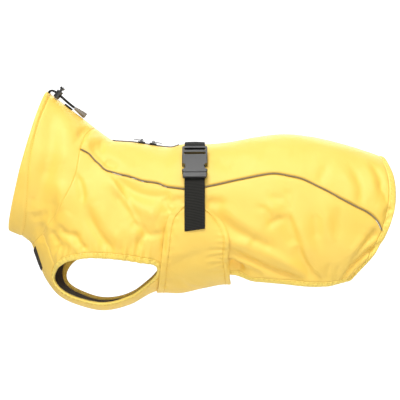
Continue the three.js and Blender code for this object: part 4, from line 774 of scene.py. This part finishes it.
# Collar
def stitch_row(name, path, slot_name="cloth"):
    """Sewing thread along a path: one short arched stitch after another."""
    run = np.concatenate([[0], np.cumsum(length(np.diff(path, axis=0)))])
    starts = np.arange(0, run[-1] - STITCH_LENGTH, STITCH_STEP)
    at = starts[:, None] + np.array([0, 0.3, 0.7, 1]) * STITCH_LENGTH
    middle = np.stack([np.interp(at, run, path[:, k]) for k in range(3)], -1)
    way = unit(middle[:, -1:] - middle[:, :1])
    across = unit(np.cross(way, np.array([0.31, 0.87, 0.12])))
    over = np.cross(across, way)
    radius = STITCH_RADIUS * np.array([0.5, 1, 1, 0.5])[:, None]
    ring = [across, over, -across, -over]
    points = np.stack([middle + side * radius for side in ring], axis=2)
    faces = []
    for stitch in range(len(starts)):
        first = stitch * 16
        for row in range(3):
            for k in range(4):
                a = first + row * 4 + k
                b = first + row * 4 + (k + 1) % 4
                faces.append((a, b, b + 4, a + 4))
        faces.append((first + 3, first + 2, first + 1, first))
        faces.append((first + 12, first + 13, first + 14, first + 15))
    obj = mesh_object(name, points.reshape(-1, 3) * MM, faces, [thread])
    put(obj, slot_name)


def make_collar():
    angles = stretch(-180, 180, 240)[:-1]
    shares = stretch(0, 1, 64)
    seam_gap = float(stations_for(4.0, 90.0, SEAM_GAP / 4))
    u = shares[:, None] * (collar_seam(angles)[None, :] - seam_gap)
    angle = np.broadcast_to(angles, u.shape)
    stitched = casing_station(angles)
    from_stitch = (stitched - u) / stations_for(stitched, angles, 1.0)
    casing = 0.8 * rise_between(from_stitch, 0.3, 4) - 0.7 * fade(from_stitch, 1.1)
    obj = panel("collar_cloth", u, angle, casing, WALL, [cloth, cloth_back], roll=(0.8, 1, 0, 0), closed=True)
    put(obj, "cloth", "collar")
    stitch_row("casing_stitch_thread", folded_point(stitched, angles, -0.45))


def make_side_panel(side):
    loop = LOOPS[side]
    s = np.concatenate([
        stretch(PIPING_START, CHEST_END, 50)[:-1], stretch(CHEST_END, ARMHOLE_END, 104)[:-1],
        stretch(ARMHOLE_END, HEM_START, 24)[:-1], stretch(HEM_START, REAR_END, 70),
    ])
    t = stretch(0, 1, 70)
    upper = beside_piping(-PIPING_HALF - SEAM_GAP)
    low_u, low_angle = side_lower(loop, s, s[0])
    u = s[:, None] + (low_u - s)[:, None] * t
    angle = upper(s)[:, None] + (low_angle - upper(s))[:, None] * t
    u = with_collar_edge(u, u[:1], angle[:1], s[:, None], s[0], 2.2)
    name = "left" if side > 0 else "right"
    obj = panel(f"side_cloth_{name}", u, angle * side, 0, WALL, [cloth, cloth_back])
    put(obj, "cloth", f"side_panel_{name}")


def zip_angle(u, distance):
    return degrees_for(u, 1.0, ZIP_OFF_CENTRE + distance)


def station_at_top(x):
    grid = np.linspace(0, LAST, 4001)
    return float(np.interp(x, base_point(grid, 0.0)[:, 0], grid))


def make_back_panel():
    zip_from, zip_to = station_at_top(ZIP_FROM_X), station_at_top(ZIP_TO_X)
    front = PIPING_START
    lower = beside_piping(PIPING_HALF + SEAM_GAP)
    s = np.concatenate([
        stretch(front, zip_from, 8)[:-1], stretch(zip_from, zip_to, 60)[:-1], stretch(zip_to, REAR_END, 150),
    ])
    left = stretch(1, 0, 30)
    columns = np.concatenate([left, left[::-1]])
    sides = np.concatenate([np.ones(31), -np.ones(31)])
    slot_edge = np.stack([zip_angle(s, ZIP_SLOT_HALF * side) for side in sides], axis=1)
    angle = slot_edge + (lower(s)[:, None] * sides - slot_edge) * columns
    u = np.broadcast_to(s[:, None], angle.shape)
    u = with_collar_edge(u, u[:1], angle[:1], s[:, None], front, min(2, zip_from - front))
    keep = np.ones((len(s) - 1, 61), bool)
    in_zip = (s[:-1] >= zip_from - 1e-6) & (s[:-1] < zip_to - 1e-6)
    keep[in_zip, 30] = False
    obj = panel("back_panel_cloth", u, angle, 0, WALL, [cloth, cloth_back], keep=keep)
    put(obj, "cloth", "back_panel")


def chest_edge(loop, s, extra):
    places = chest_seam_places(loop, extra)
    shift = degrees_for(places[1, 0], places[1, 1], SEAM_GAP / 2 + extra - SEAM_GAP)
    first = through(places, np.clip((s - CHEST_FRONT) / (CHEST_CORNER - CHEST_FRONT), 0, 1))
    t = np.clip((s - CHEST_CORNER) / (CHEST_REAR - CHEST_CORNER), 0, 1)
    hole_u, hole_angle = armhole_outer(loop, ARMHOLE_FRONT + (STRAP_REAR - ARMHOLE_FRONT) * t, extra)
    ahead = s < CHEST_CORNER
    return np.where(ahead, first[..., 0], hole_u), np.where(ahead, first[..., 1] + shift, hole_angle)


def chest_grid(rows, columns, edge_gap, ends):
    s = stretch(CHEST_FRONT, CHEST_REAR, rows)
    t = stretch(-1, 1, columns)
    near_u, near_angle = chest_edge(LOOPS[1], s, edge_gap)
    far_u, far_angle = chest_edge(LOOPS[-1], s, edge_gap)
    edge_u = np.where(t > 0, near_u[:, None], far_u[:, None])
    edge_angle = np.where(t > 0, near_angle[:, None], far_angle[:, None])
    away = (180 - edge_angle) * np.abs(t)
    angle = np.where(t > 0, 180 - away, 180 + away)
    u = s[:, None] + (edge_u - s[:, None]) * t * t
    gap = float(stations_for(4.0, 170.0, SEAM_GAP + ends))
    left = 1 - rise_between(s, CHEST_FRONT, CHEST_FRONT + 2)[:, None]
    seam = collar_seam(np.minimum(angle[:1], 360 - angle[:1])) + gap
    return u + (seam - u[:1]) * left, angle


def make_chest():
    u, angle = chest_grid(110, 60, SEAM_GAP, 0)
    obj = panel("chest_cloth", u, angle, 0, WALL, [cloth, cloth_back])
    put(obj, "cloth", "chest_panel")
    u, angle = chest_grid(80, 40, 4, 5)
    obj = panel("chest_lining_mesh", u, angle, -WALL - 0.8, 1.0, [lining], roll=None)
    put(obj, "lining", "chest_lining")


def edge_route(rows, at, first_station):
    places = [(first_station, 180.0)] + [locate(*row[1:]) for row in rows]
    return smooth([0] + [row[0] for row in rows], places, at)


def belly_places(s, t):
    """Places on the belly panel: s from its front edge to its rear one, t from flap to flap."""
    front = edge_route(BELLY_FRONT, np.abs(t), BELLY_FRONT_STATION)
    rear = edge_route(BELLY_REAR, np.abs(t), BELLY_REAR_STATION)
    place = front + (rear - front) * s[..., None]
    return place[..., 0], np.where(t >= 0, place[..., 1], 360 - place[..., 1])


def make_belly():
    s = np.concatenate([stretch(0, 0.17, 22)[:-1], stretch(0.17, 0.83, 34)[:-1], stretch(0.83, 1, 22)])
    t = stretch(-1, 1, 300)
    u, angle = belly_places(s[:, None], t)
    p = base_point(u, angle)
    steps = length(np.diff(p, axis=0))
    from_front = np.concatenate([np.zeros((1, len(t))), np.cumsum(steps, axis=0)])
    across = from_front[-1:]
    from_rear = across - from_front
    flap = np.minimum(1, np.maximum(0, np.abs(t) - 0.12) / 0.1)
    hem = 1 - rise_between(from_front, FLAP_HEM_FRONT - 1.2, FLAP_HEM_FRONT + 1.5)
    hem += 1 - rise_between(from_rear, FLAP_HEM_REAR - 1.2, FLAP_HEM_REAR + 1.5)
    stitched = fade(from_front - FLAP_HEM_FRONT, 1.0) + fade(from_rear - FLAP_HEM_REAR, 1.0)
    down = np.abs(t) * FLAP_REACH
    pucker = np.sin(down * 2 * math.pi / 8.5 + 1.3 * np.sin(down / 13))
    pucker = pucker * fade(from_rear - FLAP_HEM_REAR - 3, 6)
    pucker *= fade(np.abs(t) - 0.5, 0.17)
    pucker += 0.4 * np.sin(down * 2 * math.pi / 13 + 2) * fade(from_front - FLAP_HEM_FRONT, 5)
    lift = WALL + FLAP_LIFT + flap * (0.9 * hem - 0.8 * stitched) + 0.7 * pucker
    obj = panel("belly_cloth", u, angle, lift, WALL, [cloth, cloth_back], roll=(1, 1, 0.6, 0.6))
    put(obj, "cloth", "belly_panel")
    for edge, at in (("front", FLAP_HEM_FRONT / across[0]), ("rear", 1 - FLAP_HEM_REAR / across[0])):
        stitch_u, stitch_angle = belly_places(at, t)
        path = folded_point(stitch_u, stitch_angle, WALL + FLAP_LIFT + 0.1)
        stitch_row(f"belly_{edge}_stitch_thread", path)


def make_piping(side):
    name = "left" if side > 0 else "right"
    s = np.linspace(PIPING_START, REAR_END, 260)
    path = folded_point(s, piping_angle(s) * side, 0.35)
    obj = tube(f"piping_{name}_cord", path, 0.85, 12, [piping_look])
    put(obj, "piping", f"piping_{name}")


# Rows across a band, the last ones tucked under the panel it is sewn to
BAND_ROWS = np.concatenate([stretch(0, 1, 10), [1.06, 1.3]])[:, None]
BAND_ARCH = np.sin(math.pi * np.clip(BAND_ROWS, 0, 1)) ** 0.5


def make_binding(side):
    loop = LOOPS[side]
    name = "left" if side > 0 else "right"
    at = stretch(0, ARMHOLE_ROWS, 400)[:-1]
    edge_u, edge_angle = loop(at)
    out_u, out_angle = armhole_outer(loop, at, 0)
    t = BAND_ROWS
    u = edge_u + (out_u - edge_u) * t
    angle = edge_angle + (out_angle - edge_angle) * t
    p = base_point(edge_u, edge_angle)
    run = np.concatenate([[0], np.cumsum(length(np.diff(p, axis=0)))])
    gathered = 0.35 * np.sin(run * 2 * math.pi / 5.4 + 1.2 * np.sin(run / 11)) * BAND_ARCH
    round_over = 1.0 * BAND_ARCH - 0.6 - 0.3 * (t > 1)
    obj = panel(f"armhole_binding_{name}_band", u, angle * side, round_over + gathered, WALL + 0.6,
                [binding], roll=None, closed=True)
    put(obj, "binding", f"armhole_binding_{name}")
    seam_u = edge_u + (out_u - edge_u) * BINDING_STITCH
    seam_angle = edge_angle + (out_angle - edge_angle) * BINDING_STITCH
    stitch_row(f"armhole_{name}_stitch_thread", folded_point(seam_u, seam_angle * side, 0.15), "binding")


def hem_path():
    bottom = np.linspace(HEM_HIDDEN_START, LAST, 150)[:-1]
    low = float(hem_angle(LAST))
    inner_low = float(hem_inner(LAST, HEM_WIDTH))
    share = np.linspace(1, -1, 360)
    edge_u = np.concatenate([bottom, np.full(360, LAST), bottom[::-1]])
    edge_angle = np.concatenate([hem_angle(bottom), low * share, -hem_angle(bottom)[::-1]])
    inner = hem_inner(bottom, HEM_WIDTH)
    inner_u = np.concatenate([bottom, np.full(360, LAST - HEM_INSET), bottom[::-1]])
    inner_angle = np.concatenate([inner, inner_low * share, -inner[::-1]])
    return edge_u, edge_angle, inner_u, inner_angle


def make_hem():
    edge_u, edge_angle, inner_u, inner_angle = hem_path()
    t = BAND_ROWS
    u = edge_u + (inner_u - edge_u) * t
    angle = edge_angle + (inner_angle - edge_angle) * t
    p = base_point(edge_u, edge_angle)
    run = np.concatenate([[0], np.cumsum(length(np.diff(p, axis=0)))])
    gathered = 0.4 * np.sin(run * 2 * math.pi / 6.1 + 1.5 * np.sin(run / 17)) * BAND_ARCH
    round_over = 1.1 * BAND_ARCH - 0.6 - 0.3 * (t > 1)
    obj = panel("hem_band_cloth", u, angle, round_over + gathered, WALL + 0.7, [binding], roll=None)
    put(obj, "binding", "hem_band")
    seam_u = edge_u + (inner_u - edge_u) * BINDING_STITCH
    seam_angle = edge_angle + (inner_angle - edge_angle) * BINDING_STITCH
    stitch_row("hem_stitch_thread", folded_point(seam_u, seam_angle, 0.2), "binding")


def make_label():
    s = stretch(4.75, 6.35, 12)[:, None]
    t = stretch(-1, 1, 24)
    angle = 180 - degrees_for(s, 170.0, 1.0) * t * LABEL_HALF_WIDTH
    u = np.broadcast_to(s, angle.shape)
    obj = panel("label_patch", u, angle, 1.3, 0.9, [label_look], roll=(1, 1, 1, 1))
    put(obj, "label", "label")


STRAP_LIFTS = [
    (35, 3.0), (31, 4.3), (27, 5.6), (22, 5.2), (16, 3.2), (9, 1.5), (0, 0.7), (-30, 0.7),
    (-52, 1.5), (-68, 2.0), (-78, 3.6), (-101, 3.4),
]
LOWER_LIFTS = [(59, 3.1), (63, 4.4), (70, 4.2), (78, 3.7), (98, 3.4)]


def place_at_x(x, angle):
    grid = np.linspace(10, 17, 281)
    out = np.zeros(angle.shape)
    for k in np.ndindex(angle.shape):
        out[k] = np.interp(x[k], base_point(grid, angle[k])[:, 0], grid)
    return out


def make_webbing(name, node, rows, count):
    table = np.array(rows, float)
    way = np.sign(table[-1, 0] - table[0, 0])
    angles = np.linspace(table[0, 0], table[-1, 0], count)
    lift = smooth(table[:, 0] * way, table[:, 1], angles * way) + WEBBING_WALL
    across = np.array([-12.5, -12.3, -11.6, -9, -5, 0, 5, 9, 11.6, 12.3, 12.5])
    thin = np.array([0.55, 0.25, 0, 0, 0, 0, 0, 0, 0, 0.25, 0.55])
    angle, x = np.meshgrid(angles, across, indexing="ij")
    u = place_at_x(x, angle)
    outer = cloth_point(u, angle, lift[:, None] - thin)
    inner = cloth_point(u, angle, lift[:, None] - WEBBING_WALL + thin)
    obj = shell(name, outer, inner, [webbing])
    put(obj, "webbing", node)


def make_zip():
    zip_from, zip_to = station_at_top(ZIP_FROM_X), station_at_top(ZIP_TO_X)
    s = np.linspace(zip_from + 0.02, zip_to - 0.02, 120)[:, None]
    across = np.linspace(-1, 1, 7)
    tape_half = ZIP_SLOT_HALF - SEAM_GAP
    u = np.broadcast_to(s, (120, 7))
    obj = panel("zip_tape_cloth", u, zip_angle(s, across * tape_half), -0.3, 1.1, [zip_look], roll=None)
    put(obj, "zip", "zip_tape")
    arch = 0.8 + 0.5 * np.cos(across * math.pi / 2)
    teeth = 0.25 * np.sign(np.sin(np.arange(120) * 2.4))[:, None] * (np.abs(across) > 0.2)
    coil_angle = zip_angle(s, across * 1.5)
    obj = panel("zip_coil_teeth", u, coil_angle, arch + teeth - 0.3, 0.9, [coil_look], roll=None)
    put(obj, "zip", "zip_coil")


make_collar()
make_side_panel(1)
make_side_panel(-1)
make_back_panel()
make_chest()
make_belly()
make_piping(1)
make_piping(-1)
make_binding(1)
make_binding(-1)
make_hem()
make_label()
make_webbing("webbing_over_back_strap", "webbing_over_back", STRAP_LIFTS, 160)
make_webbing("webbing_on_flap_strap", "webbing_on_flap", LOWER_LIFTS, 60)
make_zip()

for name, look in (
    ("zip_slider_front", plastic), ("zip_slider_rear", plastic), ("zip_pull_front", plastic),
    ("zip_pull_rear", plastic), ("buckle_female", plastic), ("buckle_male", plastic),
    ("cord_lock_barrel", plastic), ("cord_lock_plunger", plastic), ("cord_end", cord_end_look),
    ("nape_keeper", webbing),
):
    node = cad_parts[name]
    node.data.materials.clear()
    node.data.materials.append(look)


# Floor and light
floor_mesh = bpy.data.meshes.new("floor")
FLOOR_HALF = 5
FLOOR_Z = -1.5
corners = [(x * FLOOR_HALF, y * FLOOR_HALF) for x, y in ((-1, -1), (1, -1), (1, 1), (-1, 1))]
floor_mesh.from_pydata([(x, y, FLOOR_Z) for x, y in corners], [], [(0, 1, 2, 3)])
floor = bpy.data.objects.new("floor", floor_mesh)
bpy.context.collection.objects.link(floor)
floor_mesh.materials.append(material("floor", (0.88, 0.88, 0.88), 0.9))

world = bpy.data.worlds.new("studio")
world.use_nodes = True
BACKDROP_WHITE = 1.6
SKY_LOW = 0.2
SKY_HIGH = 0.44


def light_world():
    """A white backdrop for the camera; the cloth is lit by a softer sky, brighter overhead."""
    tree = world.node_tree
    sky = tree.nodes["Background"]
    coords = tree.nodes.new("ShaderNodeTexCoord")
    split = tree.nodes.new("ShaderNodeSeparateXYZ")
    spread = tree.nodes.new("ShaderNodeMapRange")
    spread.inputs["From Min"].default_value = -0.5
    spread.inputs["From Max"].default_value = 0.8
    spread.inputs["To Min"].default_value = SKY_LOW
    spread.inputs["To Max"].default_value = SKY_HIGH
    tree.links.new(coords.outputs["Generated"], split.inputs["Vector"])
    tree.links.new(split.outputs["Z"], spread.inputs["Value"])
    tree.links.new(spread.outputs["Result"], sky.inputs["Strength"])
    sky.inputs["Color"].default_value = (1, 1, 1, 1)
    backdrop = tree.nodes.new("ShaderNodeBackground")
    backdrop.inputs["Strength"].default_value = BACKDROP_WHITE
    path = tree.nodes.new("ShaderNodeLightPath")
    mix = tree.nodes.new("ShaderNodeMixShader")
    tree.links.new(path.outputs["Is Camera Ray"], mix.inputs["Fac"])
    tree.links.new(sky.outputs["Background"], mix.inputs[1])
    tree.links.new(backdrop.outputs["Background"], mix.inputs[2])
    tree.links.new(mix.outputs["Shader"], tree.nodes["World Output"].inputs["Surface"])


light_world()
bpy.context.scene.world = world


LIT_POINT = (0, 0, -0.05)


def add_light(name, place, size, power):
    data = bpy.data.lights.new(name, "AREA")
    data.shape = "SQUARE"
    data.size = size
    data.energy = power
    lamp = bpy.data.objects.new(name, data)
    lamp.location = place
    from_to = np.array(LIT_POINT) - np.array(place)
    lamp.rotation_euler = (
        math.atan2(math.hypot(from_to[0], from_to[1]), -from_to[2]), 0,
        math.atan2(from_to[0], -from_to[1]) + math.pi,
    )
    bpy.context.collection.objects.link(lamp)


# Name, place, size in metres, power in watts
for row in (
    ("key", (-1.0, -2.3, 3.0), 1.6, 86), ("top", (0.25, -1.5, 2.1), 1.0, 14),
    ("front", (0.2, -3.2, 0.4), 2.2, 29), ("rear", (0.6, 2.6, 1.9), 1.8, 60),
):
    add_light(*row)
bpy.context.scene.view_settings.view_transform = "Standard"
bpy.context.scene.view_settings.exposure = 0
